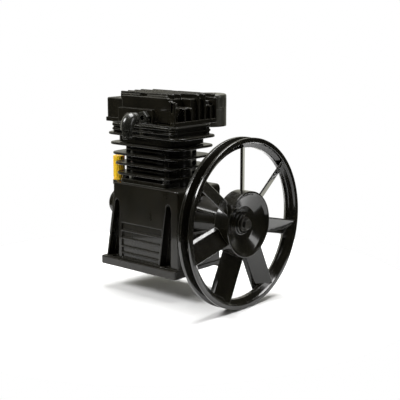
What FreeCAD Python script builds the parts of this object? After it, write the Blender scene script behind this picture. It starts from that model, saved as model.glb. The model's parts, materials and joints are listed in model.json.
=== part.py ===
import FreeCAD, Part
import math
import os
import Sketcher
from FreeCAD import Placement, Rotation, Vector

# Belt-driven air compressor pump with two cylinders in line.
# Frame: origin at the centre of the mounting flange's bottom face, +Z up, +X along the crankshaft
# towards the flywheel, +Y towards the intake filter. Millimetres.

doc = FreeCAD.newDocument("pump")
sheet = doc.addObject("Spreadsheet::Sheet", "Dims")

DIMENSIONS = {
    # Crankcase
    "base_length": 197.0,
    "base_width": 140.0,
    "relief_front": 35.0,
    "relief_back": 60.0,
    "relief_depth": 7.0,
    "base_thick": 16.0,
    "case_width": 120.0,
    "case_top": 163.0,
    "case_right": 97.0,
    "case_left": 71.0,
    "case_left_foot": 95.0,
    "shoulder_height": 136.0,
    "wall": 9.0,
    "mount_spacing_long": 138.0,
    "mount_spacing_wide": 108.0,
    "mount_centre": -5.0,
    "mount_hole_radius": 5.5,
    "pocket_depth": 18.0,
    "rib_depth": 3.5,
    # Crank train
    "crank_height": 110.0,
    "cylinder_offset": 32.0,
    "throw": 23.0,
    "rod_length": 113.0,
    "pin_radius": 11.0,
    "pin_length": 18.0,
    "web_thick": 9.0,
    "web_radius": 36.0,
    "rear_journal_radius": 12.5,
    "drive_journal_radius": 17.5,
    "wrist_pin_radius": 7.0,
    "bore_radius": 26.0,
    "crown_height": 28.0,
    "skirt_depth": 20.0,
    "run_gap": 0.05,
    # Bearings and end covers
    "rear_boss_face": 86.0,
    "rear_bolt_circle": 34.5,
    "rear_cover_depth": 35.0,
    "drive_bolt_circle": 46.5,
    "rear_boss_radius": 42.0,
    "rear_bearing_radius": 26.0,
    "rear_bearing_width": 15.0,
    "drive_boss_face": 103.0,
    "drive_boss_radius": 53.0,
    "drive_opening_radius": 40.0,
    "drive_bearing_start": 98.0,
    "drive_bearing_radius": 36.0,
    "drive_bearing_width": 17.0,
    "housing_nose": 160.0,
    "seal_radius": 26.0,
    "seal_start": 150.0,
    "seal_width": 8.0,
    "seal_shaft_radius": 16.5,
    "gasket": 0.5,
    # Cylinder block
    "block_flange_top": 171.0,
    "barrel_radius": 35.0,
    "block_top": 275.0,
    "fin_thick": 4.5,
    "fin_pitch": 18.75,
    "top_fin_height": 255.3,
    "fin_half_width": 56.0,
    "fin_corner": 26.0,
    # Cylinder head
    "plate_thick": 3.0,
    "head_bottom": 279.0,
    "head_half_length": 89.0,
    "head_half_width": 59.5,
    "head_deck": 326.0,
    "head_step": 324.0,
    "head_step_edge": 45.0,
    "ridge_top": 335.0,
    "outer_ridge_top": 333.0,
    "front_wall_top": 330.5,
    "head_bolt_hole": 4.3,
    "head_bolt_boss": 8.5,
    "head_bolt_seat": 9.5,
    "base_stud_hole": 4.3,
    "mouth_radius": 29.0,
    "front_wall_thick": 5.5,
    "ridge_thick": 4.5,
    "shelf_height": 311.0,
    # Discharge elbow
    "elbow_along": 23.0,
    "elbow_height": 293.5,
    "elbow_reach": 112.0,
    "elbow_radius": 12.0,
    "elbow_nut_height": 17.0,
    "elbow_bore": 5.0,
    "tube_radius": 6.05,
    "elbow_end": 258.0,
    # Intake filter
    "filter_along": 41.0,
    "filter_across": 96.0,
    "filter_radius": 31.0,
    "filter_bottom": 266.0,
    "filter_split": 300.0,
    "filter_top": 328.0,
    "neck_height": 288.0,
    # Oil filler, breather, sight glass and drain
    "filler_along": -95.0,
    "filler_across": -20.0,
    "filler_seat": 160.0,
    "filler_cap_height": 48.0,
    "filler_cap_radius": 11.5,
    "breather_along": 74.0,
    "breather_height": 148.0,
    # Flywheel
    "wheel_radius": 155.0,
    "wheel_front": 211.0,
    "wheel_width": 27.5,
    "groove_depth": 13.0,
    "groove_width": 17.0,
    "hub_radius": 60.0,
    "hub_front": 214.0,
    "hub_back": 183.0,
    "boss_radius": 18.5,
    "boss_front": 203.5,
    "wheel_washer_radius": 13.0,
    "wheel_washer_thick": 3.0,
    "wheel_bore_radius": 13.0,
    "blade_thick": 4.4,
}
BLADES = 7


class Size:
    """A length together with the sheet expression that gives it."""

    def __init__(self, value, text):
        self.value = float(value)
        self.text = text

    def __add__(self, other):
        other = as_size(other)
        return Size(self.value + other.value, f"({self.text} + {other.text})")

    def __sub__(self, other):
        other = as_size(other)
        return Size(self.value - other.value, f"({self.text} - {other.text})")

    def __mul__(self, other):
        other = as_size(other)
        return Size(self.value * other.value, f"({self.text} * {other.text})")

    def __truediv__(self, other):
        other = as_size(other)
        return Size(self.value / other.value, f"({self.text} / {other.text})")

    def __rsub__(self, other):
        return as_size(other) - self

    def __neg__(self):
        return as_size(0) - self

    __radd__ = __add__
    __rmul__ = __mul__


def as_size(number):
    """The number itself if it is a Size, or a plain number as one."""
    if isinstance(number, Size):
        return number
    return Size(number, f"({float(number)})")


def fill_sheet():
    """Write each driving dimension to its own row and return them as Sizes."""
    sizes = {}
    for row, (name, value) in enumerate(DIMENSIONS.items(), 1):
        sheet.set(f"A{row}", name)
        sheet.set(f"B{row}", str(value))
        sheet.setAlias(f"B{row}", name)
        sizes[name] = Size(value, f"Dims.{name}")
    doc.recompute()
    return sizes


DIM = fill_sheet()
CRANK = DIM["crank_height"]
NODES = {}


def node(name, obj):
    """Name a finished sub-part."""
    obj.Label = name
    NODES[name] = obj
    return obj


def bind(obj, name, size):
    """Tie one property of an object to the sheet."""
    obj.setExpression(name, as_size(size).text)


# ---------------------------------------------------------------- primitives and booleans

TURNS = {
    "X": Rotation(Vector(0, 1, 0), 90),
    "Y": Rotation(Vector(1, 0, 0), -90),
    "Z": Rotation(),
}


def place(obj, at, axis="Z"):
    """Put an object's own origin at a point, with its own Z along an axis."""
    point = [as_size(part) for part in at]
    obj.Placement = Placement(Vector(*[part.value for part in point]), TURNS[axis])
    for letter, part in zip("xyz", point):
        bind(obj, f".Placement.Base.{letter}", part)
    return obj


def box(name, low, high):
    """A box between two corners."""
    obj = doc.addObject("Part::Box", name)
    for side, start, end in zip(("Length", "Width", "Height"), low, high):
        bind(obj, side, as_size(end) - as_size(start))
    return place(obj, low)


def cylinder(name, radius, length, start, axis="Z"):
    """A cylinder that runs from its start towards plus its axis."""
    obj = doc.addObject("Part::Cylinder", name)
    bind(obj, "Radius", radius)
    bind(obj, "Height", length)
    return place(obj, start, axis)


def hexagon(name, across_flats, length, start, axis="Z"):
    """A hexagonal prism that runs from its start towards plus its axis."""
    obj = doc.addObject("Part::Prism", name)
    obj.Polygon = 6
    bind(obj, "Circumradius", as_size(across_flats) / math.sqrt(3))
    bind(obj, "Height", length)
    return place(obj, start, axis)


def fuse(name, parts):
    obj = doc.addObject("Part::MultiFuse", name)
    obj.Shapes = parts
    return obj


def cut(name, base, tools):
    tool = tools[0] if len(tools) == 1 else fuse(f"{name}_tools", tools)
    obj = doc.addObject("Part::Cut", name)
    obj.Base = base
    obj.Tool = tool
    return obj


def common(name, base, tool):
    obj = doc.addObject("Part::Common", name)
    obj.Base = base
    obj.Tool = tool
    return obj


def tube(name, outer, inner, length, start, axis="Z"):
    """A ring or tube with one through bore."""
    wall = cylinder(f"{name}_wall", outer, length, start, axis)
    bore = cylinder(f"{name}_bore", inner, length, start, axis)
    return cut(name, wall, [bore])


def is_upright(edge):
    """True for a straight edge along Z."""
    first, last = edge.Vertexes[0].Point, edge.Vertexes[-1].Point
    return abs(first.x - last.x) + abs(first.y - last.y) < 1e-6 < abs(first.z - last.z)


def rounded(name, base, radius, test=is_upright):
    """A copy of a solid with the edges that pass a test rounded."""
    doc.recompute()
    obj = doc.addObject("Part::Fillet", name)
    obj.Base = base
    edges = enumerate(base.Shape.Edges, 1)
    obj.Edges = [(number, radius, radius) for number, edge in edges if test(edge)]
    return obj


def rounded_box(name, low, high, radius):
    """A box with its four upright edges rounded."""
    return rounded(name, box(f"{name}_box", low, high), radius)


def hex_bolt(name, seat, axis, out, across_flats, head, shank_radius, shank):
    """A hex bolt: seat is the middle of the face under its head, out is +1 or -1 along the axis."""
    index = "XYZ".index(axis)
    head_start = list(seat)
    shank_start = list(seat)
    if out > 0:
        shank_start[index] = as_size(seat[index]) - shank
    else:
        head_start[index] = as_size(seat[index]) - head
    parts = [
        hexagon(f"{name}_head", across_flats, head, head_start, axis),
        cylinder(f"{name}_shank", shank_radius, shank, shank_start, axis),
    ]
    return fuse(name, parts)


def around(radius, count, first=0.0):
    """Points evenly round the crank axis, as (y, z) Sizes, first angle from +Z towards +Y."""
    points = []
    for step in range(count):
        angle = math.radians(first + 360.0 * step / count)
        points.append((as_size(radius) * math.sin(angle), CRANK + as_size(radius) * math.cos(angle)))
    return points


# ---------------------------------------------------------------- sketches and body features

def new_body(name):
    body = doc.addObject("PartDesign::Body", name)
    return node(name, body)


def origin_feature(body, role):
    return next(item for item in body.Origin.OriginFeatures if item.Role == role)


def new_sketch(body, name, plane, offset):
    """An empty sketch on one of its body's origin planes, moved along the plane's normal."""
    sketch = body.newObject("Sketcher::SketchObject", name)
    sketch.AttachmentSupport = [(origin_feature(body, plane), "")]
    sketch.MapMode = "FlatFace"
    bind(sketch, ".AttachmentOffset.Base.z", offset)
    return sketch


def pin_point(sketch, geometry, vertex, point):
    """Fix one vertex of a sketch at a point whose coordinates are Sizes."""
    for kind, part in zip(("DistanceX", "DistanceY"), point):
        size = as_size(part)
        number = sketch.addConstraint(Sketcher.Constraint(kind, -1, 1, geometry, vertex, size.value))
        bind(sketch, f"Constraints[{number}]", size)


def add_polygon(sketch, points):
    """A closed outline of straight lines."""
    values = [Vector(as_size(u).value, as_size(v).value, 0) for u, v in points]
    first = sketch.GeometryCount
    count = len(values)
    for step in range(count):
        sketch.addGeometry(Part.LineSegment(values[step], values[(step + 1) % count]), False)
    for step in range(count):
        following = first + (step + 1) % count
        sketch.addConstraint(Sketcher.Constraint("Coincident", first + step, 2, following, 1))
    for step, point in enumerate(points):
        pin_point(sketch, first + step, 1, point)


def add_circle(sketch, centre, radius):
    middle = Vector(as_size(centre[0]).value, as_size(centre[1]).value, 0)
    size = as_size(radius)
    circle = sketch.addGeometry(Part.Circle(middle, Vector(0, 0, 1), size.value), False)
    pin_point(sketch, circle, 3, centre)
    number = sketch.addConstraint(Sketcher.Constraint("Radius", circle, size.value))
    bind(sketch, f"Constraints[{number}]", size)


def polygon_sketch(body, name, plane, points, offset=0):
    sketch = new_sketch(body, name, plane, offset)
    add_polygon(sketch, points)
    return sketch


def circle_sketch(body, name, plane, circles, offset=0):
    """A sketch of circles, each given as (centre, radius)."""
    sketch = new_sketch(body, name, plane, offset)
    for centre, radius in circles:
        add_circle(sketch, centre, radius)
    return sketch


def pad(body, sketch, length, reversed_=False, both=False):
    feature = body.newObject("PartDesign::Pad", f"{sketch.Name}_pad")
    feature.Profile = sketch
    feature.Reversed = reversed_
    feature.SideType = "Symmetric" if both else "One side"
    bind(feature, "Length", length)
    return feature


def pocket(body, sketch, length, reversed_=False, both=False):
    """A pocket that must remove material from the body."""
    doc.recompute()
    before = body.Shape.Volume
    feature = body.newObject("PartDesign::Pocket", f"{sketch.Name}_pocket")
    feature.Profile = sketch
    feature.Reversed = reversed_
    feature.SideType = "Symmetric" if both else "One side"
    bind(feature, "Length", length)
    doc.recompute()
    assert body.Shape.Volume < before - 1.0, feature.Name
    return feature


def revolution(body, sketch, axis="H_Axis"):
    feature = body.newObject("PartDesign::Revolution", f"{sketch.Name}_turned")
    feature.Profile = sketch
    feature.ReferenceAxis = (sketch, [axis])
    feature.Angle = 360
    return feature


def polar(body, name, originals, count, axis="X_Axis"):
    doc.recompute()
    feature = body.newObject("PartDesign::PolarPattern", name)
    feature.Originals = originals
    feature.Axis = (origin_feature(body, axis), [""])
    feature.Angle = 360
    feature.Occurrences = count
    body.Tip = feature
    return feature


def fillet(body, base, radius, test):
    doc.recompute()
    edges = [f"Edge{number}" for number, edge in enumerate(base.Shape.Edges, 1) if test(edge)]
    feature = body.newObject("PartDesign::Fillet", f"{base.Name}_fillet")
    feature.Base = (base, edges)
    feature.Radius = radius
    return feature


def lift_to_crank(body):
    """A body drawn about the X axis, raised to the crankshaft's height."""
    bind(body, ".Placement.Base.z", CRANK)
    return body


# ---------------------------------------------------------------- crankcase

FLANGE = DIM["base_thick"]
CASE_Y = DIM["case_width"] / 2
BASE_NUT_PLACES = [(side * 53.0, end * 43.5) for side in (-1, 1) for end in (-1, 1)]
POCKET_LEFT = [(-88.5, 16), (-59, 16), (-55, 115), (-56, 127), (-61, 132), (-66, 128), (-69.5, 112)]
POCKET_RIGHT = [(50, 16), (77, 16), (80, 118), (78, 130), (73, 137), (67, 131), (61, 92)]
GLASS_PLACE = (-20, 48)
DRAIN_PLACE = (28, 34)
RIB_GAPS = [(18.5, 25), (29, 38), (42, 54), (58, 69), (73, 86)]


def panel_window(low, high):
    """The gap between two ribs, narrowing downwards beside the right bolt pocket."""
    def right(height):
        return 45 + (height - 16) * 11 / 72

    return [(-50, low), (right(low), low), (right(high), high), (-50, high)]


def build_crankcase():
    body = new_body("crankcase")
    left, foot, right = DIM["case_left"], DIM["case_left_foot"], DIM["case_right"]
    top, shoulder, wall = DIM["case_top"], DIM["shoulder_height"], DIM["wall"]
    outline = [(-foot, FLANGE / 2), (right, FLANGE / 2), (right, top), (-left, top), (-left, shoulder)]
    shell = pad(body, polygon_sketch(body, "case_outline", "XZ_Plane", outline), CASE_Y * 2, both=True)
    fillet(body, shell, 6.0, lambda edge: edge.CenterOfMass.z > 20.0)

    half_x, half_y = DIM["base_length"] / 2, DIM["base_width"] / 2
    flange = [(-half_x, -half_y), (half_x, -half_y), (half_x, half_y), (-half_x, half_y)]
    pad(body, polygon_sketch(body, "flange_outline", "XY_Plane", flange), FLANGE)
    for end, inner, outer in (("drive", 73, half_x), ("rear", -83, -half_x)):
        low, high = -DIM["relief_front"], DIM["relief_back"]
        relief = [(inner, low), (outer, low), (outer, high), (inner, high)]
        sketch = polygon_sketch(body, f"{end}_foot_relief", "XY_Plane", relief)
        pocket(body, sketch, DIM["relief_depth"], reversed_=True)

    rear = circle_sketch(body, "rear_boss", "YZ_Plane", [((0, CRANK), DIM["rear_boss_radius"])],
                         -DIM["rear_boss_face"])
    pad(body, rear, DIM["rear_boss_face"] - 64)
    drive = circle_sketch(body, "drive_boss", "YZ_Plane", [((0, CRANK), DIM["drive_boss_radius"])],
                          right - wall)
    pad(body, drive, DIM["drive_boss_face"] - right + wall)

    filler = (DIM["filler_along"], DIM["filler_across"])
    seat = DIM["filler_seat"]
    neck = circle_sketch(body, "filler_neck", "XY_Plane", [(filler, 12.5)], seat - 8)
    pad(body, neck, 8)
    bracket = [(filler[0], filler[1] - 10), (-66, filler[1] - 14), (-66, filler[1] + 14),
               (filler[0], filler[1] + 10)]
    pad(body, polygon_sketch(body, "filler_bracket", "XY_Plane", bracket, seat - 8), 7)

    breather_place = (DIM["breather_along"], DIM["breather_height"])
    rear_bosses = [(breather_place, 12), (GLASS_PLACE, 19), (DRAIN_PLACE, 13)]
    for number, boss in enumerate(rear_bosses):
        sketch = circle_sketch(body, f"back_boss_{number}", "XZ_Plane", [boss], -CASE_Y + 4)
        pad(body, sketch, 7, reversed_=True)

    inner_top = top - wall
    wide = [(-51, FLANGE), (48, FLANGE), (48, 70), (51, 84), (51, inner_top), (-51, inner_top)]
    pocket(body, polygon_sketch(body, "wide_cavity", "XZ_Plane", wide), CASE_Y * 2 - wall * 2, both=True)
    narrow = [(wall - foot + 2, FLANGE), (right - wall, FLANGE), (right - wall, inner_top),
              (wall - left, inner_top), (wall - left, shoulder)]
    pocket(body, polygon_sketch(body, "long_cavity", "XZ_Plane", narrow), 74, both=True)

    rear_bore = circle_sketch(body, "rear_bore", "YZ_Plane", [((0, CRANK), DIM["rear_bearing_radius"])],
                              -DIM["rear_boss_face"])
    pocket(body, rear_bore, DIM["rear_bearing_width"] + 3, reversed_=True)
    rear_relief = circle_sketch(body, "rear_relief", "YZ_Plane", [((0, CRANK), 20)],
                                -DIM["rear_boss_face"])
    pocket(body, rear_relief, 30, reversed_=True)
    drive_bore = circle_sketch(body, "drive_bore", "YZ_Plane", [((0, CRANK), DIM["drive_opening_radius"])],
                               DIM["drive_boss_face"])
    pocket(body, drive_bore, 20)
    mouths = [((DIM["cylinder_offset"] * side, 0), DIM["mouth_radius"]) for side in (-1, 1)]
    pocket(body, circle_sketch(body, "cylinder_mouths", "XY_Plane", mouths, top), wall + 1)

    filler_bore = circle_sketch(body, "filler_bore", "XY_Plane", [(filler, 8)], seat)
    pocket(body, filler_bore, 6)
    passage = circle_sketch(body, "filler_passage", "YZ_Plane", [((filler[1], seat - 4.5), 3)], filler[0])
    pocket(body, passage, 38, reversed_=True)
    for name, centre, radius in (("breather_bore", breather_place, 6), ("glass_bore", GLASS_PLACE, 12),
                                 ("drain_bore", DRAIN_PLACE, 6.5)):
        sketch = circle_sketch(body, name, "XZ_Plane", [(centre, radius)], -CASE_Y - 3)
        pocket(body, sketch, 24, reversed_=True)

    angle = math.radians(45)
    spread = DIM["rear_bolt_circle"]
    rear_taps = [((spread * math.sin(angle) * y, CRANK + spread * math.cos(angle) * z), 4.05)
                 for y in (-1, 1) for z in (-1, 1)]
    taps = circle_sketch(body, "rear_taps", "YZ_Plane", rear_taps, -DIM["rear_boss_face"])
    pocket(body, taps, 12, reversed_=True)
    drive_taps = [(point, 3.05) for point in around(DIM["drive_bolt_circle"], 6, first=30.0)]
    taps = circle_sketch(body, "drive_taps", "YZ_Plane", drive_taps, DIM["drive_boss_face"])
    pocket(body, taps, 13)
    stud_taps = [(point, 4.05) for point in BASE_NUT_PLACES]
    pocket(body, circle_sketch(body, "stud_taps", "XY_Plane", stud_taps, top), 8.5)

    half_long, half_wide = DIM["mount_spacing_long"] / 2, DIM["mount_spacing_wide"] / 2
    holes = [((DIM["mount_centre"] + side * half_long, end * half_wide), DIM["mount_hole_radius"])
             for side in (-1, 1) for end in (-1, 1)]
    pocket(body, circle_sketch(body, "mount_holes", "XY_Plane", holes), FLANGE + 4, reversed_=True)

    fronts = []
    for name, outline in (("left_pocket", POCKET_LEFT), ("right_pocket", POCKET_RIGHT)):
        sketch = polygon_sketch(body, name, "XZ_Plane", outline, CASE_Y)
        fronts.append(pocket(body, sketch, DIM["pocket_depth"]))
    for number, (low, high) in enumerate(RIB_GAPS):
        sketch = polygon_sketch(body, f"rib_gap_{number}", "XZ_Plane", panel_window(low, high), CASE_Y)
        fronts.append(pocket(body, sketch, DIM["rib_depth"]))
    doc.recompute()
    before = body.Shape.Volume
    back = body.newObject("PartDesign::Mirrored", "back_face")
    back.Originals = fronts
    back.MirrorPlane = (origin_feature(body, "XZ_Plane"), [""])
    body.Tip = back
    doc.recompute()
    assert body.Shape.Volume < before - 1000.0, "back pockets"


# ---------------------------------------------------------------- end covers and bearings

def turned_body(name, outline):
    """A body turned about the crank axis from an outline of (x, radius) points."""
    body = new_body(name)
    revolution(body, polygon_sketch(body, f"{name}_outline", "XZ_Plane", outline))
    return lift_to_crank(body)


def drill_circle(body, name, face, circle_radius, count, radius, depth, first=0.0):
    """Holes on a circle about the crank axis, drilled in +X from a face."""
    angle = math.radians(first)
    centre = (as_size(circle_radius) * math.sin(angle), as_size(circle_radius) * math.cos(angle))
    sketch = circle_sketch(body, name, "YZ_Plane", [(centre, radius)], face)
    hole = pocket(body, sketch, depth, reversed_=True)
    polar(body, f"{name}_pattern", [hole], count)


def build_rear_cover():
    face = -DIM["rear_boss_face"] - DIM["gasket"]
    radius, spread = DIM["rear_boss_radius"] - 1, DIM["rear_bolt_circle"]
    cup = face - DIM["rear_cover_depth"]
    outline = [(cup + 4, 0), (cup + 4, 20), (face, 22), (face, radius), (face - 8, radius),
               (face - 10, radius - 2), (face - 10, 27), (cup + 4, 26.5), (cup + 1, 25), (cup, 22), (cup, 9),
               (cup + 2, 7), (cup + 2, 0)]
    body = turned_body("rear_bearing_cover", outline)
    drill_circle(body, "rear_cover_hole", face - 12, spread, 4, 4.2, 13, first=45.0)
    gasket = tube("rear_gasket_ring", radius, 25, DIM["gasket"], (face, 0, CRANK), "X")
    places = around(spread, 4, first=45.0)
    holes = [cylinder("rear_gasket_hole", 4.2, 2, (face - 1, y, z), "X") for y, z in places]
    node("rear_cover_gasket", cut("rear_cover_gasket", gasket, holes))
    bolts = [hex_bolt("rear_cover_bolt", (face - 10, y, z), "X", -1, 12, 5.3, 4.0, 20) for y, z in places]
    node("rear_cover_bolts", fuse("rear_cover_bolts", bolts))


def build_drive_housing():
    face, nose = DIM["drive_boss_face"] + DIM["gasket"], DIM["housing_nose"]
    seat, width = DIM["drive_bearing_start"], DIM["drive_bearing_width"]
    spigot, outer = DIM["drive_opening_radius"] - 0.03, DIM["drive_boss_radius"] - 0.5
    seal, seal_start = DIM["seal_radius"], DIM["seal_start"]
    bearing = DIM["drive_bearing_radius"]
    outline = [(seat - 3, bearing), (seat - 3, spigot), (face, spigot), (face, outer), (face + 8, outer),
               (face + 9, outer - 1), (face + 9, 40.5), (nose - 14, 34), (nose, 31), (nose, seal),
               (seal_start, seal), (seal_start, 21), (seat + width, 21), (seat + width, bearing)]
    body = turned_body("drive_end_housing", outline)
    fin = [(face + 7, 38), (face + 14, 38), (nose - 4, 29), (nose - 4, 34), (face + 30, 40), (face + 9, 50),
           (face + 7, 50)]
    fin_pad = pad(body, polygon_sketch(body, "housing_fin", "XZ_Plane", fin), 4.0, both=True)
    polar(body, "housing_fins", [fin_pad], 6)
    spread = DIM["drive_bolt_circle"]
    drill_circle(body, "housing_hole", face - 0.5, spread, 6, 3.2, 12, first=30.0)
    ring = tube("drive_gasket", outer, spigot + 0.1, DIM["gasket"], (DIM["drive_boss_face"], 0, CRANK), "X")
    places = around(spread, 6, first=30.0)
    holes = [cylinder("drive_gasket_hole", 3.2, 2, (face - 1, y, z), "X") for y, z in places]
    node("drive_housing_gasket", cut("drive_housing_gasket", ring, holes))
    bolts = [hex_bolt("drive_housing_bolt", (face + 9, y, z), "X", 1, 10, 5.0, 3.0, 20) for y, z in places]
    node("drive_housing_bolts", fuse("drive_housing_bolts", bolts))
    node("shaft_seal", tube("shaft_seal", seal - 0.02, DIM["seal_shaft_radius"] + DIM["run_gap"],
                            DIM["seal_width"], (seal_start, 0, CRANK), "X"))


def build_bearing(name, start, width, inner, outer, count):
    """A ball bearing as an outer ring, an inner ring and its balls."""
    middle = (as_size(inner) + outer) / 2
    ball = (as_size(outer) - inner) * 0.3
    groove = ball + 0.3
    centre = as_size(start) + as_size(width) / 2
    for part, low, high in (("outer", middle + ball * 0.55, outer), ("inner", inner, middle - ball * 0.55)):
        ring = tube(f"{name}_{part}_ring", high, low, width, (start, 0, CRANK), "X")
        track = doc.addObject("Part::Torus", f"{name}_{part}_track")
        bind(track, "Radius1", middle)
        bind(track, "Radius2", groove)
        place(track, (centre, 0, CRANK), "X")
        node(f"{name}_{part}", cut(f"{name}_{part}", ring, [track]))
    balls = []
    for y, z in around(middle, count):
        obj = doc.addObject("Part::Sphere", f"{name}_ball")
        bind(obj, "Radius", ball)
        balls.append(place(obj, (centre, y, z)))
    node(f"{name}_balls", fuse(f"{name}_balls", balls))


# ---------------------------------------------------------------- crank train

def crank_web(name, start, side):
    """A web whose crankpin is on one side of the axis, +1 above or -1 below."""
    thick, radius = DIM["web_thick"], DIM["web_radius"]
    pin = CRANK + DIM["throw"] * side
    disc = cylinder(f"{name}_disc", radius, thick, (start, 0, CRANK), "X")
    far = radius + 5
    if side > 0:
        half = box(f"{name}_half", (start - 1, -far, CRANK - far), (start + thick + 1, far, CRANK - 4))
        neck_low, neck_high = CRANK - 6, pin
    else:
        half = box(f"{name}_half", (start - 1, -far, CRANK + 4), (start + thick + 1, far, CRANK + far))
        neck_low, neck_high = pin, CRANK + 6
    weight = common(f"{name}_weight", disc, half)
    neck = box(f"{name}_neck", (start, -17, neck_low), (start + thick, 17, neck_high))
    nose = cylinder(f"{name}_nose", 17, thick, (start, 0, pin), "X")
    return fuse(name, [weight, neck, nose])


def build_crankshaft():
    offset, length, thick = DIM["cylinder_offset"], DIM["pin_length"], DIM["web_thick"]
    throw, pin_radius = DIM["throw"], DIM["pin_radius"]
    outer_face = offset + length / 2 + thick
    inner_face = offset - length / 2 - thick
    parts = [
        crank_web("web_1_rear", -outer_face, 1),
        crank_web("web_1_front", -inner_face - thick, 1),
        crank_web("web_2_rear", inner_face, -1),
        crank_web("web_2_front", outer_face - thick, -1),
    ]

    def journal(name, radius, start, end, height=CRANK):
        parts.append(cylinder(name, radius, as_size(end) - start, (start, 0, height), "X"))

    rear, drive = DIM["rear_journal_radius"], DIM["drive_journal_radius"]
    rear_end, rear_width = DIM["rear_boss_face"], DIM["rear_bearing_width"]
    drive_start, drive_width = DIM["drive_bearing_start"], DIM["drive_bearing_width"]
    journal("rear_journal", rear, -rear_end + 1, -outer_face)
    journal("rear_shoulder", rear + 4, -rear_end + 2 + rear_width, -outer_face)
    journal("pin_1", pin_radius, -outer_face + thick / 2, -inner_face - thick / 2, CRANK + throw)
    journal("middle_journal", 16, -inner_face, inner_face)
    journal("pin_2", pin_radius, inner_face + thick / 2, outer_face - thick / 2, CRANK - throw)
    journal("drive_shoulder", drive + 3, outer_face, drive_start)
    journal("drive_journal", drive, drive_start, drive_start + drive_width)
    journal("seal_journal", DIM["seal_shaft_radius"], drive_start + drive_width, DIM["hub_back"] - 3)
    bore = DIM["wheel_bore_radius"]
    journal("wheel_seat", bore - 0.01, DIM["hub_back"] - 3, DIM["boss_front"] - 1.5)
    keyway = box("keyway", (DIM["hub_back"] - 1, -4, CRANK + bore - 4),
                 (DIM["boss_front"], 4, CRANK + bore + 2))
    thread = cylinder("shaft_thread", 5.1, 32, (DIM["boss_front"] - 30, 0, CRANK), "X")
    node("crankshaft", cut("crankshaft", fuse("crank_solid", parts), [keyway, thread]))


RINGS_DOWN = (6, 11, 16)
ROD_BOLTS = (-15.5, 15.5)


def build_cylinder_set(number, side):
    """Piston, rings, wrist pin and connecting rod of one cylinder; side is +1 at the top of its stroke."""
    along = DIM["cylinder_offset"] * (-1 if number == 1 else 1)
    big_end = CRANK + DIM["throw"] * side
    wrist = big_end + DIM["rod_length"]
    bore, wrist_radius, gap = DIM["bore_radius"], DIM["wrist_pin_radius"], DIM["run_gap"]

    outer = bore - gap
    crown, skirt = DIM["crown_height"], DIM["skirt_depth"]
    body = new_body(f"piston_{number}")
    outline = [(0, crown - 7), (outer - 4.5, crown - 9), (outer - 4.5, -skirt), (outer, -skirt),
               (outer, crown - 0.5), (outer - 0.5, crown), (0, crown)]
    revolution(body, polygon_sketch(body, f"piston_outline_{number}", "XZ_Plane", outline), "V_Axis")
    boss = circle_sketch(body, f"pin_bosses_{number}", "YZ_Plane", [((0, 0), 11)])
    pad(body, boss, (outer - 3) * 2, both=True)
    gap_outline = [(-9.2, -skirt - 1), (9.2, -skirt - 1), (9.2, 14), (-9.2, 14)]
    gap_sketch = polygon_sketch(body, f"rod_gap_{number}", "XZ_Plane", gap_outline)
    pocket(body, gap_sketch, 34, both=True)
    pin_hole = circle_sketch(body, f"pin_hole_{number}", "YZ_Plane", [((0, 0), wrist_radius)])
    pocket(body, pin_hole, bore * 2 + 2, both=True)
    ring_heights = [crown - down for down in RINGS_DOWN]
    for step, height in enumerate(ring_heights):
        groove = [(outer - 2.6, height), (outer + 1, height), (outer + 1, height + 2.1),
                  (outer - 2.6, height + 2.1)]
        sketch = polygon_sketch(body, f"ring_groove_{number}_{step}", "XZ_Plane", groove)
        feature = body.newObject("PartDesign::Groove", f"ring_cut_{number}_{step}")
        feature.Profile = sketch
        feature.ReferenceAxis = (sketch, ["V_Axis"])
        feature.Angle = 360
    place(body, (along, 0, wrist))

    rings = [tube(f"ring_{number}", bore - 0.02, outer - 2.4, 2.0, (along, 0, wrist + height + 0.05))
             for height in ring_heights]
    node(f"piston_rings_{number}", fuse(f"piston_rings_{number}", rings))
    pin_length = (bore - 3) * 2
    node(f"wrist_pin_{number}", tube(f"wrist_pin_{number}", wrist_radius - 0.01, 4, pin_length,
                                     (along - pin_length / 2, 0, wrist), "X"))

    width = DIM["pin_length"] - 0.6
    start = along - width / 2
    journal = DIM["pin_radius"] + gap
    solid = fuse(f"rod_solid_{number}", [
        cylinder(f"big_end_{number}", 17.5, width, (start, 0, big_end), "X"),
        box(f"lugs_{number}", (start + 1, -20, big_end - 9), (start + width - 1, 20, big_end + 9)),
        box(f"shank_{number}", (start + 3, -8, big_end + 12), (start + width - 3, 8, wrist - 8)),
        cylinder(f"small_end_{number}", 11, width, (start, 0, wrist), "X"),
    ])
    flutes = [box(f"flute_{number}", (start + low, -4.5, big_end + 22), (start + low + 4, 4.5, wrist - 14))
              for low in (2.0, width - 6.0)]
    holes = [
        cylinder(f"big_bore_{number}", journal, width + 2, (start - 1, 0, big_end), "X"),
        cylinder(f"small_bore_{number}", wrist_radius + 0.02, width + 2, (start - 1, 0, wrist), "X"),
    ]
    bolt_holes = [cylinder(f"rod_bolt_hole_{number}", 3.0, 24, (along, across, big_end - 12))
                  for across in ROD_BOLTS]
    bolt_holes += [cylinder(f"rod_bolt_seat_{number}", 5.0, 10, (along, across, big_end - 19))
                   for across in ROD_BOLTS]
    whole = cut(f"rod_bored_{number}", solid, flutes + holes + bolt_holes)
    lower = box(f"cap_space_{number}", (start - 1, -30, big_end - 30), (start + width + 1, 30, big_end))
    node(f"connecting_rod_{number}", cut(f"connecting_rod_{number}", whole, [lower]))
    node(f"rod_cap_{number}", common(f"rod_cap_{number}", whole, lower))
    bolts = [hex_bolt(f"rod_bolt_{number}", (along, across, big_end - 9), "Z", -1, 8, 4, 2.95, 17)
             for across in ROD_BOLTS]
    node(f"rod_bolts_{number}", fuse(f"rod_bolts_{number}", bolts))


# ---------------------------------------------------------------- cylinder block

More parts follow.
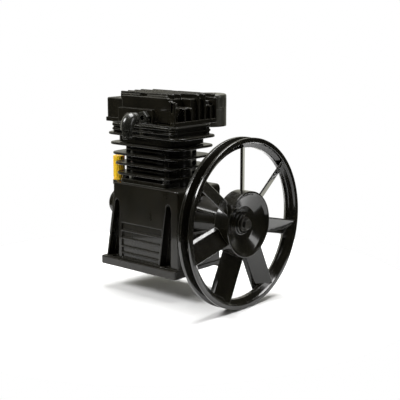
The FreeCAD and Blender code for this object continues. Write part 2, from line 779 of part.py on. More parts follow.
HEAD_BOLT_PLACES = [(side * 72.0, end * 44.0) for side in (-1, 1) for end in (-1, 1)]
HEAD_BOLT_PLACES += [(0.0, -46.0), (0.0, 46.0)]
DECK_X, DECK_Y, PLATE_CORNER = 82, 55, 12
FLANGE_X, FLANGE_Y = 62, 53
SHORT_FIN_X, SHORT_FIN_Y = 62, 47
FIN_HALF_LENGTHS = [98.0, 93.0, 87.0, 81.0, 76.0]


def centred_plate(name, half_x, half_y, low, high, corner):
    return rounded_box(name, (-as_size(half_x), -as_size(half_y), low), (half_x, half_y, high), corner)


def build_block():
    offset, bore = DIM["cylinder_offset"], DIM["bore_radius"]
    pitch, thick, corner = DIM["fin_pitch"], DIM["fin_thick"], DIM["fin_corner"].value
    bottom, top = DIM["case_top"] + DIM["gasket"], DIM["block_top"]
    parts = [
        centred_plate("block_flange", FLANGE_X, FLANGE_Y, bottom, DIM["block_flange_top"], PLATE_CORNER),
        centred_plate("lower_collar", 72, 46, top - 35, top - 17, PLATE_CORNER),
        centred_plate("upper_collar", 75, 47, top - 18, top, PLATE_CORNER),
        centred_plate("deck", DECK_X, DECK_Y, top - thick, top, PLATE_CORNER),
        centred_plate("deck_fin", DECK_X, DECK_Y, top - 12.6, as_size(top) - 12.6 + thick, PLATE_CORNER),
    ]
    for x, y in HEAD_BOLT_PLACES:
        parts.append(cylinder("head_bolt_boss", DIM["head_bolt_boss"], 18, (x, y, top - 18)))
    for side in (-1, 1):
        parts.append(cylinder("barrel", DIM["barrel_radius"], top - bottom, (offset * side, 0, bottom)))
        for end in (-1, 1):
            parts.append(cylinder("tie_rib", 4.5, top - 30 - 179, (50 * side, 38 * end, 179)))
    for step, half_length in enumerate(FIN_HALF_LENGTHS):
        low = DIM["top_fin_height"] - pitch * step - thick / 2
        parts.append(centred_plate("long_fin", half_length, DIM["fin_half_width"], low, low + thick, corner))
        if step > 0:
            half_way = low + pitch / 2
            parts.append(centred_plate("short_fin", SHORT_FIN_X, SHORT_FIN_Y, half_way, half_way + thick, 30))
    tools = [cylinder("bore", bore, top - bottom + 2, (offset * side, 0, bottom - 1)) for side in (-1, 1)]
    stud_hole, bolt_hole = DIM["base_stud_hole"], DIM["head_bolt_hole"]
    tools += [cylinder("base_stud_hole", stud_hole, 14, (x, y, bottom - 1)) for x, y in BASE_NUT_PLACES]
    tools += [cylinder("head_bolt_hole", bolt_hole, 18, (x, y, top - 16.5)) for x, y in HEAD_BOLT_PLACES]
    node("cylinder_block", cut("cylinder_block", fuse("block_solid", parts), tools))

    gasket = centred_plate("base_gasket_sheet", FLANGE_X, FLANGE_Y, DIM["case_top"], bottom, PLATE_CORNER)
    mouth = DIM["mouth_radius"]
    tools = [cylinder("gasket_mouth", mouth, 4, (offset * side, 0, bottom - 2)) for side in (-1, 1)]
    tools += [cylinder("gasket_stud_hole", stud_hole, 4, (x, y, bottom - 2)) for x, y in BASE_NUT_PLACES]
    node("base_gasket", cut("base_gasket", gasket, tools))
    nuts = []
    for x, y in BASE_NUT_PLACES:
        nuts.append(hexagon("block_nut_hex", 13, 6.0, (x, y, DIM["block_flange_top"])))
        nuts.append(cylinder("block_stud", 4.0, 22, (x, y, DIM["case_top"] - 8)))
    node("block_studs_and_nuts", fuse("block_studs_and_nuts", nuts))


def build_valves():
    offset, bore, gasket = DIM["cylinder_offset"], DIM["bore_radius"], DIM["gasket"]
    top, plate = DIM["block_top"], DIM["plate_thick"]
    plate_low = top + gasket
    plate_high = plate_low + plate
    bolt_holes = [cylinder("plate_bolt_hole", DIM["head_bolt_hole"], 8, (x, y, top - 2))
                  for x, y in HEAD_BOLT_PLACES]
    lower = centred_plate("block_gasket_sheet", DECK_X, DECK_Y, top, plate_low, PLATE_CORNER)
    mouths = [cylinder("block_gasket_mouth", bore + 1, 4, (offset * side, 0, top - 2)) for side in (-1, 1)]
    node("block_gasket", cut("block_gasket", lower, mouths + bolt_holes))
    ports = [cylinder("port", 3.5, 8, (offset * side + shift, across, top - 2))
             for side in (-1, 1) for across in (-14, 14) for shift in (-5, 5)]
    sheet_plate = centred_plate("valve_plate_sheet", DECK_X, DECK_Y, plate_low, plate_high, PLATE_CORNER)
    node("valve_plate", cut("valve_plate", sheet_plate, ports + bolt_holes))
    upper = centred_plate("head_gasket_sheet", DECK_X, DECK_Y, plate_high, plate_high + gasket, PLATE_CORNER)
    windows = [rounded_box("head_gasket_window", (-60, low, plate_high - 1),
                           (60, low + 36, plate_high + 2), 6) for low in (-41, 5)]
    node("head_gasket", cut("head_gasket", upper, windows + bolt_holes))
    for name, across, low in (("suction_reeds", 14, plate_low - 0.4), ("discharge_reeds", -14, plate_high)):
        reeds = [rounded_box("reed", (offset * side - 12, across - 5, low),
                             (offset * side + 12, across + 5, low + 0.4), 4) for side in (-1, 1)]
        node(name, fuse(name, reeds))


# ---------------------------------------------------------------- cylinder head

RIDGES = [(-45.0, -60.0, 60.0), (-28.0, -77.0, 60.0), (-10.0, -77.0, 60.0), (8.0, -77.0, 85.0),
          (25.0, -77.0, 85.0), (41.0, -60.0, 85.0), (57.0, -45.0, 85.0)]
END_FINS = [(-57.0, 324.0), (-30.0, 311.0), (-12.0, 311.0), (8.0, 334.0), (25.0, 334.0), (41.0, 330.0),
            (57.0, 326.0)]


def build_head():
    half_x, half_y = DIM["head_half_length"], DIM["head_half_width"]
    low, deck, edge = DIM["head_bottom"], DIM["head_deck"], DIM["head_step_edge"]
    thick, deck_left = DIM["ridge_thick"], DIM["head_step"]
    wall_x = half_x - 7
    wall_top, wall_thick = DIM["front_wall_top"], DIM["front_wall_thick"]
    parts = [
        rounded_box("head_base", (-half_x, -half_y, low), (half_x, half_y, low + 8), 3),
        rounded_box("head_left", (-half_x + 2, -half_y + 1, low + 2), (0, half_y - 1, deck_left), 6),
        rounded_box("head_main", (-edge, -half_y, low + 2), (wall_x, half_y, deck), 3),
        box("discharge_pad", (-50, -half_y - 5, low + 2), (40, -half_y + 3, low + 29)),
        box("front_wall", (-edge, -half_y, deck - 2), (wall_x - 6, -half_y + wall_thick, wall_top)),
    ]
    for across, left, right in RIDGES:
        height = DIM["ridge_top"] if abs(across) < 45 else DIM["outer_ridge_top"]
        start = (left, across - thick / 2, deck_left - 2)
        parts.append(box("ridge", start, (right, across + thick / 2, height)))
    for across, height in END_FINS:
        parts.append(box("end_fin", (wall_x - 3, across - 2.2, low + 4), (half_x, across + 2.2, height)))
    shelf = box("shelf_space", (60, -54, DIM["shelf_height"]), (half_x + 1, -8, deck + 20))
    rear_shelf = box("rear_shelf_space", (60, 30, DIM["shelf_height"]), (half_x + 1, 54, deck + 20))
    chambers = [rounded_box("chamber", (-60, across, low - 1), (60, across + 36, low + 26), 6)
                for across in (-41, 5)]
    tools = [shelf, rear_shelf] + chambers
    along, height = DIM["elbow_along"], DIM["elbow_height"]
    tools.append(cylinder("discharge_port", 8.0, 32, (along, -half_y - 7, height), "Y"))
    tools.append(cylinder("suction_port", 8.0, 25, (DIM["filter_along"], 38, DIM["neck_height"]), "Y"))
    tools.append(cylinder("plug_hole", 4.55, 12, (along - 44, -half_y - 6, height - 2), "Y"))
    for x, y in HEAD_BOLT_PLACES:
        tools.append(cylinder("head_hole", DIM["head_bolt_hole"], 70, (x, y, low - 1)))
        if x <= 0.0:
            tools.append(cylinder("head_seat", DIM["head_bolt_seat"], 40, (x, y, DIM["shelf_height"])))
    node("cylinder_head", cut("cylinder_head", fuse("head_solid", parts), tools))

    bolts = []
    for x, y in HEAD_BOLT_PLACES:
        seat = DIM["shelf_height"]
        bolts.append(hex_bolt("head_bolt", (x, y, seat), "Z", 1, 14, 8, 4.2, seat - DIM["block_top"] + 15))
        bolts.append(cylinder("head_washer", 8.5, 1.6, (x, y, seat)))
    node("head_bolts", fuse("head_bolts", bolts))


def build_elbow():
    along, height, reach = DIM["elbow_along"], DIM["elbow_height"], DIM["elbow_reach"]
    radius, bore, end = DIM["elbow_radius"], DIM["elbow_bore"], DIM["elbow_end"]
    nut_height = DIM["elbow_nut_height"]
    pad_face = DIM["head_half_width"] + 5
    bend = doc.addObject("Part::Sphere", "elbow_bend")
    bind(bend, "Radius", radius)
    place(bend, (along, -reach, height))
    parts = [
        cylinder("elbow_thread", 7.9, 14, (along, -pad_face - 4, height), "Y"),
        hexagon("elbow_hex", 22, 9, (along, -pad_face - 10, height), "Y"),
        cylinder("elbow_arm", radius - 3, reach - pad_face - 4, (along, -reach, height), "Y"),
        bend,
        cylinder("elbow_leg", radius, height - end - nut_height, (along, -reach, end + nut_height)),
        cylinder("elbow_male", 7.0, nut_height - 7, (along, -reach, end + 8)),
    ]
    tools = [
        cylinder("elbow_bore_level", bore, reach - pad_face + 40, (along, -reach, height), "Y"),
        cylinder("elbow_bore_down", bore, height - end, (along, -reach, end)),
    ]
    node("discharge_elbow", cut("discharge_elbow", fuse("elbow_solid", parts), tools))
    nut = hexagon("elbow_nut_hex", 17, nut_height, (along, -reach, end))
    tools = [
        cylinder("elbow_nut_thread", 7.1, nut_height, (along, -reach, end + 6)),
        cylinder("elbow_nut_mouth", DIM["tube_radius"], 8, (along, -reach, end - 1)),
    ]
    node("flare_nut", cut("flare_nut", nut, tools))
    seat = (along - 44, -pad_face, height - 2)
    node("port_plug", hex_bolt("port_plug", seat, "Y", -1, 14, 6, 4.5, 10))


def build_filter():
    along, across, radius = DIM["filter_along"], DIM["filter_across"], DIM["filter_radius"]
    bottom, split, top = DIM["filter_bottom"], DIM["filter_split"], DIM["filter_top"]
    neck = DIM["neck_height"]
    wall = 2.0
    neck_start = DIM["head_half_width"]
    solid = fuse("filter_base_solid", [
        cylinder("filter_cup", radius, split - bottom, (along, across, bottom)),
        cylinder("filter_neck", 10.5, across - radius - neck_start + 5, (along, neck_start, neck), "Y"),
        cylinder("filter_spigot", 7.9, 8, (along, neck_start - 7, neck), "Y"),
    ])
    base = cut("filter_base", solid, [
        cylinder("filter_inside", radius - wall, split, (along, across, bottom + wall)),
        cylinder("filter_neck_bore", 6, 40, (along, neck_start - 8, neck), "Y"),
    ])
    node("filter_base", base)
    shell = cylinder("filter_shell", radius, top - split, (along, across, split))
    shell = rounded("filter_shell_round", shell, 4.0, lambda edge: edge.CenterOfMass.z > 320)
    louvres = []
    for step in range(18):
        angle = math.radians(20 * step)
        x = along + radius * math.sin(angle)
        y = across + radius * math.cos(angle)
        louvres.append(cylinder("louvre", 1.3, top - split - 10, (x, y, split + 4)))
    inside = cylinder("filter_shell_inside", radius - 1.5 - wall / 2, top - split - wall,
                      (along, across, split))
    node("filter_cover", cut("filter_cover", shell, [inside] + louvres))
    node("filter_element", tube("filter_element", radius - 7, radius - 17, top - bottom - wall * 2 - 0.4,
                                (along, across, bottom + wall)))


def build_fittings():
    along, across, seat = DIM["filler_along"], DIM["filler_across"], DIM["filler_seat"]
    radius, height = DIM["filler_cap_radius"], DIM["filler_cap_height"]
    node("oil_filler_cap", fuse("oil_filler_cap", [
        rounded("filler_cap_round", cylinder("filler_cap_top", radius, height, (along, across, seat)), 1.5,
                lambda edge: edge.CenterOfMass.z > 200),
        cylinder("filler_cap_plug", 7.95, 6, (along, across, seat - 5)),
    ]))
    along, height = DIM["breather_along"], DIM["breather_height"]
    face = CASE_Y + 3
    parts = [
        cylinder("breather_thread", 5.95, 15, (along, face - 14, height), "Y"),
        hexagon("breather_hex", 16, 5, (along, face, height), "Y"),
        cylinder("breather_drum", 9, 9, (along, face + 4, height), "Y"),
        cylinder("breather_nipple", 5, 6, (along, face + 12, height), "Y"),
    ]
    bore = cylinder("breather_bore", 3, 50, (along, face - 15, height), "Y")
    node("crankcase_breather", cut("crankcase_breather", fuse("breather_solid", parts), [bore]))
    along, height = GLASS_PLACE
    bezel = fuse("glass_bezel_solid", [
        cylinder("glass_bezel_rim", 16, 5, (along, face, height), "Y"),
        cylinder("glass_bezel_thread", 11.95, 12, (along, face - 11, height), "Y"),
    ])
    node("sight_glass_bezel", cut("sight_glass_bezel", bezel, [
        cylinder("glass_bezel_bore", 8, 30, (along, face - 12, height), "Y"),
        cylinder("glass_bezel_seat", 11, 5, (along, face + 1, height), "Y"),
    ]))
    node("sight_glass_lens", cylinder("sight_glass_lens", 10.95, 3, (along, face + 1, height), "Y"))
    along, height = DRAIN_PLACE
    node("drain_plug", hex_bolt("drain_plug", (along, face + 1.5, height), "Y", 1, 17, 8, 6.4, 14))
    node("drain_washer", tube("drain_washer", 11, 6.5, 1.5, (along, face, height), "Y"))


# ---------------------------------------------------------------- flywheel

def blade_outline(front_x, back_x):
    """Section of a fan blade: a long slanted run and a short lip along the shaft, (across, along)."""
    half = DIM["blade_thick"] / 2
    run_front, run_back = (-16.5, front_x), (10.0, back_x + 8.4)
    lip = (13.0, back_x)
    return [
        (run_front[0] - 1.2, run_front[1] - half * 0.9), (run_front[0] + 1.2, run_front[1]),
        (run_back[0] + half * 0.95, run_back[1] + half * 0.6), (lip[0] + half, lip[1]),
        (lip[0] - half, lip[1]), (run_back[0] - half * 0.9, run_back[1] - half * 0.35),
    ]


def build_flywheel():
    front, width, radius = DIM["wheel_front"], DIM["wheel_width"], DIM["wheel_radius"]
    back, depth, mouth = front - width, DIM["groove_depth"], DIM["groove_width"]
    hub, hub_front, hub_back = DIM["hub_radius"], DIM["hub_front"], DIM["hub_back"]
    boss, boss_front, bore = DIM["boss_radius"], DIM["boss_front"], DIM["wheel_bore_radius"]
    body = new_body("flywheel")
    hub_outline = [
        (hub_back, bore), (boss_front, bore), (boss_front, boss - 1), (boss_front - 1, boss),
        (boss_front - 6, boss + 1), (boss_front - 3, boss + 14), (hub_front - 5, hub - 8),
        (hub_front, hub - 3), (hub_front, hub - 1), (hub_front - 1, hub), (hub_back, hub),
        (hub_back, hub - 6), (hub_back + 8, hub - 12), (hub_back + 8, boss + 6), (hub_back, boss + 4),
    ]
    revolution(body, polygon_sketch(body, "hub_outline", "XZ_Plane", hub_outline))
    blade_sketch = new_sketch(body, "blade_section", "XY_Plane", hub - 4)
    section = [(along, across) for across, along in blade_outline(front - 0.5, back)]
    add_polygon(blade_sketch, section)
    blade = pad(body, blade_sketch, radius - hub - 8)
    polar(body, "blades", [blade], BLADES)
    floor = radius - depth
    groove_back = back + 6
    groove_front = groove_back + mouth
    slope = depth * math.tan(math.radians(19))
    rim_outline = [
        (back, radius), (groove_back, radius), (groove_back + slope, floor), (groove_front - slope, floor),
        (groove_front, radius), (front, radius), (front, radius - 8), (front - 4, radius - 10),
        (front - 9, floor - 5), (back + 10, floor - 5), (back + 4, radius - 11), (back, radius - 9),
    ]
    revolution(body, polygon_sketch(body, "rim_outline", "XZ_Plane", rim_outline))
    keyway = [(-4, bore - 3), (4, bore - 3), (4, bore + 3.3), (-4, bore + 3.3)]
    pocket(body, polygon_sketch(body, "hub_keyway", "YZ_Plane", keyway, hub_back - 1), 40, reversed_=True)
    lift_to_crank(body)

    key_top = CRANK + bore + 3.2
    key_low, key_high = (hub_back, -3.98, CRANK + bore - 3.95), (boss_front - 2, 3.98, key_top)
    node("flywheel_key", box("flywheel_key", key_low, key_high))
    thick = DIM["wheel_washer_thick"]
    washer = tube("flywheel_washer", DIM["wheel_washer_radius"], 6.3, thick, (boss_front, 0, CRANK), "X")
    node("flywheel_washer", washer)
    node("flywheel_bolt", hex_bolt("flywheel_bolt", (boss_front + thick, 0, CRANK), "X", 1, 17, 6.5, 5.0, 28))


# ---------------------------------------------------------------- build, check and write

build_crankcase()
build_rear_cover()
build_drive_housing()
build_bearing("rear_bearing", -DIM["rear_boss_face"] + 2, DIM["rear_bearing_width"],
              DIM["rear_journal_radius"], DIM["rear_bearing_radius"], 9)
build_bearing("drive_bearing", DIM["drive_bearing_start"], DIM["drive_bearing_width"],
              DIM["drive_journal_radius"], DIM["drive_bearing_radius"], 9)
build_crankshaft()
build_cylinder_set(1, 1)
build_cylinder_set(2, -1)
build_block()
build_valves()
build_head()
build_elbow()
build_filter()
build_fittings()
build_flywheel()

doc.recompute()
for item in doc.Objects:
    assert "Invalid" not in item.State and "Error" not in item.State, (item.Label, item.State)
for name, item in NODES.items():
    assert not item.Shape.isNull() and item.Shape.isValid(), name
os.makedirs("parts", exist_ok=True)
for name, item in NODES.items():
    item.Shape.exportStep(f"parts/{name}.step")
print(len(NODES), "sub-parts written")
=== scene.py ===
import json
import math

import bmesh
import bpy
from mathutils import Matrix, Vector


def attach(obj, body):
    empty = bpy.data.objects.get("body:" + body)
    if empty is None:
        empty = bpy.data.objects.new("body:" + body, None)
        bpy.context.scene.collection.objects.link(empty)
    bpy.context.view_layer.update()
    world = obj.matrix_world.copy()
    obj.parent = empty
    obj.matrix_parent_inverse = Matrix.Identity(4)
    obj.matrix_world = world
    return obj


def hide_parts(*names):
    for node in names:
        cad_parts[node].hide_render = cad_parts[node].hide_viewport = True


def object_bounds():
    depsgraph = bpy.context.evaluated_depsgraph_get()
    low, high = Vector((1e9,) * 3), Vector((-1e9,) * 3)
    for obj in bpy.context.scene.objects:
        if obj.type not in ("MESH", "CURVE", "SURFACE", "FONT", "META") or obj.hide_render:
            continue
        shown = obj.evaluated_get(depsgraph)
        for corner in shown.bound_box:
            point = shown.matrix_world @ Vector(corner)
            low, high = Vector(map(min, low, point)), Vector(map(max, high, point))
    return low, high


# Looks of a belt-driven air compressor pump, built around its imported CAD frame.
# Shapes are written in millimetres in the CAD frame and made in metres.

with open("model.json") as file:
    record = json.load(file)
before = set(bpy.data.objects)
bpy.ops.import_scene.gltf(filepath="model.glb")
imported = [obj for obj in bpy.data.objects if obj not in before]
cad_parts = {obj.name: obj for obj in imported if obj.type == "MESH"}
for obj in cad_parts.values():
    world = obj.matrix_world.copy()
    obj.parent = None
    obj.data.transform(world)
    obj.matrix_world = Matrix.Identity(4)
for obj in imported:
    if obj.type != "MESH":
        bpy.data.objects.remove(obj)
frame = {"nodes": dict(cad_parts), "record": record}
CAD_LOW, CAD_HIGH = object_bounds()
MM = 0.001
CRANK = 110.0


# ---------------------------------------------------------------- outlines

def flat(points):
    return [Vector(p) for p in points]


def area_of(points):
    total = 0.0
    for here, after in zip(points, points[1:] + points[:1]):
        total += here.x * after.y - after.x * here.y
    return total / 2


def soften(points, radius, steps=4):
    """A closed outline with each corner turned into an arc. radius is one number or one per corner."""
    points = flat(points)
    count = len(points)
    radii = radius if isinstance(radius, (list, tuple)) else [radius] * count
    made = []
    for i, here in enumerate(points):
        back = points[i - 1] - here
        ahead = points[(i + 1) % count] - here
        turn = back.angle(ahead, math.pi)
        if radii[i] <= 0 or turn > math.radians(174):
            made.append(here)
            continue
        reach = min(radii[i] / math.tan(turn / 2), back.length * 0.45, ahead.length * 0.45)
        start = here + back.normalized() * reach
        end = here + ahead.normalized() * reach
        for step in range(steps + 1):
            t = step / steps
            made.append(start * (1 - t) ** 2 + here * 2 * t * (1 - t) + end * t ** 2)
    return made


def offset(points, distance):
    """A closed outline moved outwards along its corner normals, or inwards for a negative distance."""
    if abs(distance) < 1e-9:
        return list(points)
    turn = 1 if area_of(points) > 0 else -1
    moved = []
    for i, here in enumerate(points):
        before, after = points[i - 1], points[(i + 1) % len(points)]
        first, second = (here - before).normalized(), (after - here).normalized()
        normals = Vector((first.y, -first.x)), Vector((second.y, -second.x))
        middle = (normals[0] + normals[1]).normalized()
        lean = max(middle.dot(normals[0]), 0.4)
        moved.append(here + middle * (turn * distance / lean))
    return moved


def rectangle(half_x, half_y, centre=(0, 0)):
    x, y = centre
    return [(x - half_x, y - half_y), (x + half_x, y - half_y), (x + half_x, y + half_y),
            (x - half_x, y + half_y)]


def circle(radius, centre=(0, 0), steps=48):
    return [Vector((centre[0] + radius * math.cos(math.tau * i / steps),
                    centre[1] + radius * math.sin(math.tau * i / steps))) for i in range(steps)]


def hexagon(across_flats, centre=(0, 0), turned=0.0):
    radius = across_flats / math.sqrt(3)
    return [(centre[0] + radius * math.cos(math.tau * i / 6 + turned),
             centre[1] + radius * math.sin(math.tau * i / 6 + turned)) for i in range(6)]


# ---------------------------------------------------------------- solids

def spot(axis, u, v, w):
    """A point from two coordinates across an axis and one along it."""
    if axis == "X":
        return Vector((w, u, v)) * MM
    if axis == "Y":
        return Vector((u, w, v)) * MM
    return Vector((u, v, w)) * MM


def closed(bm):
    bmesh.ops.remove_doubles(bm, verts=bm.verts, dist=1e-6)
    bmesh.ops.recalc_face_normals(bm, faces=bm.faces)
    mesh = bpy.data.meshes.new("solid")
    bm.to_mesh(mesh)
    bm.free()
    return mesh


def loft(loops):
    """A closed solid through loops of equal length, with a face at each end."""
    bm = bmesh.new()
    rings = [[bm.verts.new(p) for p in loop] for loop in loops]
    for low, high in zip(rings, rings[1:]):
        for i in range(len(low)):
            j = (i + 1) % len(low)
            bm.faces.new((low[i], low[j], high[j], high[i]))
    bm.faces.new(list(reversed(rings[0])))
    bm.faces.new(rings[-1])
    return closed(bm)


def slab(outline, axis, low, high, edge=1.0, corner=0.0, steps=3, low_edge=None):
    """An outline drawn along an axis, with its corners and the edges of both ends rounded."""
    points = soften(outline, corner, 5) if corner else flat(outline)
    loops = []
    low_edge = edge if low_edge is None else low_edge
    for end, inward, size in ((low, 1, low_edge), (high, -1, edge)):
        part = []
        count = steps if size > 0 else 0
        for step in range(count + 1):
            t = math.pi / 2 * step / max(count, 1)
            inset = size * (1 - math.sin(t)) if count else 0
            along = end + inward * size * (1 - math.cos(t)) if count else end
            part.append([spot(axis, p.x, p.y, along) for p in offset(points, -inset)])
        loops += part if inward > 0 else part[::-1]
    return loft(loops)


def sink(outline, axis, face, end, flare=1.0, corner=0.0, steps=3):
    """The space of a recess that opens through a face, with a rounded lip."""
    points = soften(outline, corner, 5) if corner else flat(outline)
    out = 1 if face > end else -1
    loops = [[spot(axis, p.x, p.y, end) for p in points]]
    for step in range(steps + 1):
        t = math.pi / 2 * step / steps
        grown = offset(points, flare * (1 - math.cos(t)))
        loops.append([spot(axis, p.x, p.y, face - out * flare * (1 - math.sin(t))) for p in grown])
    loops.append([spot(axis, p.x, p.y, face + out * 3) for p in offset(points, flare)])
    return loft(loops)


def turned(outline, axis, centre, steps=64, corner=0.6):
    """A solid of revolution from a closed outline of (along, radius)."""
    points = soften(outline, corner, 3) if corner else flat(outline)
    bm = bmesh.new()
    rings = []
    for i in range(steps):
        a = math.tau * i / steps
        rings.append([bm.verts.new(spot(axis, centre[0] + p.y * math.cos(a),
                                        centre[1] + p.y * math.sin(a), p.x))
                      for p in points])
    for i, ring in enumerate(rings):
        after = rings[(i + 1) % steps]
        for k in range(len(points)):
            n = (k + 1) % len(points)
            if points[k].y < 1e-6 and points[n].y < 1e-6:
                continue
            bm.faces.new((ring[k], after[k], after[n], ring[n]))
    bmesh.ops.remove_doubles(bm, verts=bm.verts, dist=1e-6)
    thin = [f for f in bm.faces if f.calc_area() < 1e-13]
    bmesh.ops.delete(bm, geom=thin, context="FACES")
    return closed(bm)


def rod(radius, axis, centre, low, high, edge=0.6, steps=40):
    return slab(circle(radius, centre, steps), axis, low, high, edge)


def sweep(path, radii, steps=32):
    """A round bar along a path in a plane of constant X, one radius per point."""
    loops = []
    points = [Vector(p) for p in path]
    for i, (here, radius) in enumerate(zip(points, radii)):
        ahead = points[min(i + 1, len(points) - 1)] - points[max(i - 1, 0)]
        along = ahead.normalized()
        side = Vector((1, 0, 0))
        up = along.cross(side).normalized()
        loops.append([(here + side * (radius * math.cos(math.tau * k / steps))
                       + up * (radius * math.sin(math.tau * k / steps))) * MM for k in range(steps)])
    return loft(loops)


def bolt_head(axis, centre, seat, out, across, height, washer=0.0, turned_by=0.0):
    """A hexagon head with a chamfered crown, a washer face and a flat washer under it."""
    solids = []
    start = seat
    if washer:
        low, high = sorted((start, start + out * 1.6))
        solids.append(rod(washer, axis, centre, low, high, 0.4))
        start += out * 1.5
    low, high = sorted((start, start + out * height))
    hexed = slab(hexagon(across, centre, turned_by), axis, low, high, 0.3, 0.4)
    crown = rod(across * 0.552, axis, centre, low - 0.4, high, 1.6, 36)
    solids.append(solid_of(hexed, [crown], "INTERSECT"))
    return solids


def link(mesh, name):
    obj = bpy.data.objects.new(name, mesh)
    bpy.context.scene.collection.objects.link(obj)
    return obj


def solid_of(base, others, operation):
    """The exact union, difference or intersection of closed meshes."""
    first = link(base, "boolean_base")
    group = bpy.data.collections.new("boolean_tools")
    bpy.context.scene.collection.children.link(group)
    tools = []
    for mesh in others:
        tool = bpy.data.objects.new("boolean_tool", mesh)
        group.objects.link(tool)
        tools.append(tool)
    modifier = first.modifiers.new("solid", "BOOLEAN")
    modifier.operation = operation
    modifier.operand_type = "COLLECTION"
    modifier.collection = group
    modifier.solver = "EXACT"
    bpy.context.view_layer.update()
    graph = bpy.context.evaluated_depsgraph_get()
    made = bpy.data.meshes.new_from_object(first.evaluated_get(graph))
    for obj in [first] + tools:
        bpy.data.objects.remove(obj)
    bpy.data.collections.remove(group)
    return made


def casting(added, removed=()):
    """One solid from the solids of a casting, less its recesses and bores."""
    made = solid_of(added[0], added[1:], "UNION") if len(added) > 1 else added[0]
    if removed:
        made = solid_of(made, list(removed), "DIFFERENCE")
    return made


def gathered(meshes):
    """Separate solids kept as one mesh, such as a set of bolts."""
    bm = bmesh.new()
    for mesh in meshes:
        bm.from_mesh(mesh)
    mesh = bpy.data.meshes.new("gathered")
    bm.to_mesh(mesh)
    bm.free()
    return mesh


def piece(name, mesh, body, slot, *nodes, sharp=32):
    """A finished piece that rides on a body and stands for CAD nodes."""
    mesh.name = name
    bm = bmesh.new()
    bm.from_mesh(mesh)
    bmesh.ops.remove_doubles(bm, verts=bm.verts, dist=2e-6)
    bmesh.ops.dissolve_degenerate(bm, edges=bm.edges, dist=2e-6)
    bm.to_mesh(mesh)
    bm.free()
    mesh.shade_smooth()
    mesh.set_sharp_from_angle(angle=math.radians(sharp))
    obj = link(mesh, name)
    weighted = obj.modifiers.new("even_shading", "WEIGHTED_NORMAL")
    weighted.keep_sharp = True
    weighted.weight = 80
    mesh.materials.clear()
    mesh.materials.append(MATERIALS[slot])
    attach(obj, body)
    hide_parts(*nodes)
    return obj


# ---------------------------------------------------------------- materials

class Tree:
    """A Principled material and the few node moves that its textures need."""

    def __init__(self, name, **uniform):
        self.material = bpy.data.materials.new(name)
        self.material.use_nodes = True
        self.nodes = self.material.node_tree.nodes
        self.links = self.material.node_tree.links
        self.nodes.clear()
        self.output = self.nodes.new("ShaderNodeOutputMaterial")
        self.surface = self.nodes.new("ShaderNodeBsdfPrincipled")
        self.links.new(self.surface.outputs[0], self.output.inputs[0])
        for socket, value in uniform.items():
            self.surface.inputs[socket.replace("_", " ")].default_value = value
        self.coords = self.nodes.new("ShaderNodeTexCoord")

    def noise(self, scale, detail=4.0, roughness=0.55, stretch=(1, 1, 1), distortion=0.0):
        mapping = self.nodes.new("ShaderNodeMapping")
        mapping.inputs["Scale"].default_value = stretch
        self.links.new(self.coords.outputs["Object"], mapping.inputs["Vector"])
        texture = self.nodes.new("ShaderNodeTexNoise")
        texture.inputs["Scale"].default_value = scale
        texture.inputs["Detail"].default_value = detail
        texture.inputs["Roughness"].default_value = roughness
        texture.inputs["Distortion"].default_value = distortion
        self.links.new(mapping.outputs[0], texture.inputs["Vector"])
        return texture.outputs["Fac"]

    def ramp(self, source, low, high, start=0.0, end=1.0):
        node = self.nodes.new("ShaderNodeMapRange")
        node.inputs["From Min"].default_value = start
        node.inputs["From Max"].default_value = end
        node.inputs["To Min"].default_value = low
        node.inputs["To Max"].default_value = high
        self.links.new(source, node.inputs["Value"])
        return node.outputs[0]

    def sum(self, first, second, operation="ADD"):
        node = self.nodes.new("ShaderNodeMath")
        node.operation = operation
        node.use_clamp = operation == "MULTIPLY"
        for socket, value in zip(node.inputs, (first, second)):
            if isinstance(value, (int, float)):
                socket.default_value = value
            else:
                self.links.new(value, socket)
        return node.outputs[0]

    def mix(self, factor, first, second):
        node = self.nodes.new("ShaderNodeMix")
        node.data_type = "RGBA"
        self.links.new(factor, node.inputs[0])
        for socket, value in ((node.inputs[6], first), (node.inputs[7], second)):
            if isinstance(value, tuple):
                socket.default_value = (*value, 1)
            else:
                self.links.new(value, socket)
        return node.outputs[2]

    def rounded_normal(self, radius):
        node = self.nodes.new("ShaderNodeBevel")
        node.samples = 4
        node.inputs["Radius"].default_value = radius
        return node.outputs[0]

    def edges(self, radius):
        """1 along edges and 0 on open faces."""
        geometry = self.nodes.new("ShaderNodeNewGeometry")
        product = self.nodes.new("ShaderNodeVectorMath")
        product.operation = "DOT_PRODUCT"
        self.links.new(self.rounded_normal(radius), product.inputs[0])
        self.links.new(geometry.outputs["Normal"], product.inputs[1])
        return self.ramp(product.outputs["Value"], 1.0, 0.0, 0.86, 0.995)

    def upward(self):
        """1 where a face looks up, 0 where it looks sideways or down."""
        split = self.nodes.new("ShaderNodeSeparateXYZ")
        self.links.new(self.coords.outputs["Normal"], split.inputs[0])
        return self.ramp(split.outputs["Z"], 0.0, 1.0, 0.5, 1.0)

    def bump(self, height, strength, distance, normal=None):
        node = self.nodes.new("ShaderNodeBump")
        node.inputs["Strength"].default_value = strength
        node.inputs["Distance"].default_value = distance
        self.links.new(height, node.inputs["Height"])
        if normal is not None:
            self.links.new(normal, node.inputs["Normal"])
        return node.outputs[0]

    def finish(self, colour=None, roughness=None, normal=None):
        for socket, source in (("Base Color", colour), ("Roughness", roughness), ("Normal", normal)):
            if source is not None:
                self.links.new(source, self.surface.inputs[socket])
        return self.material


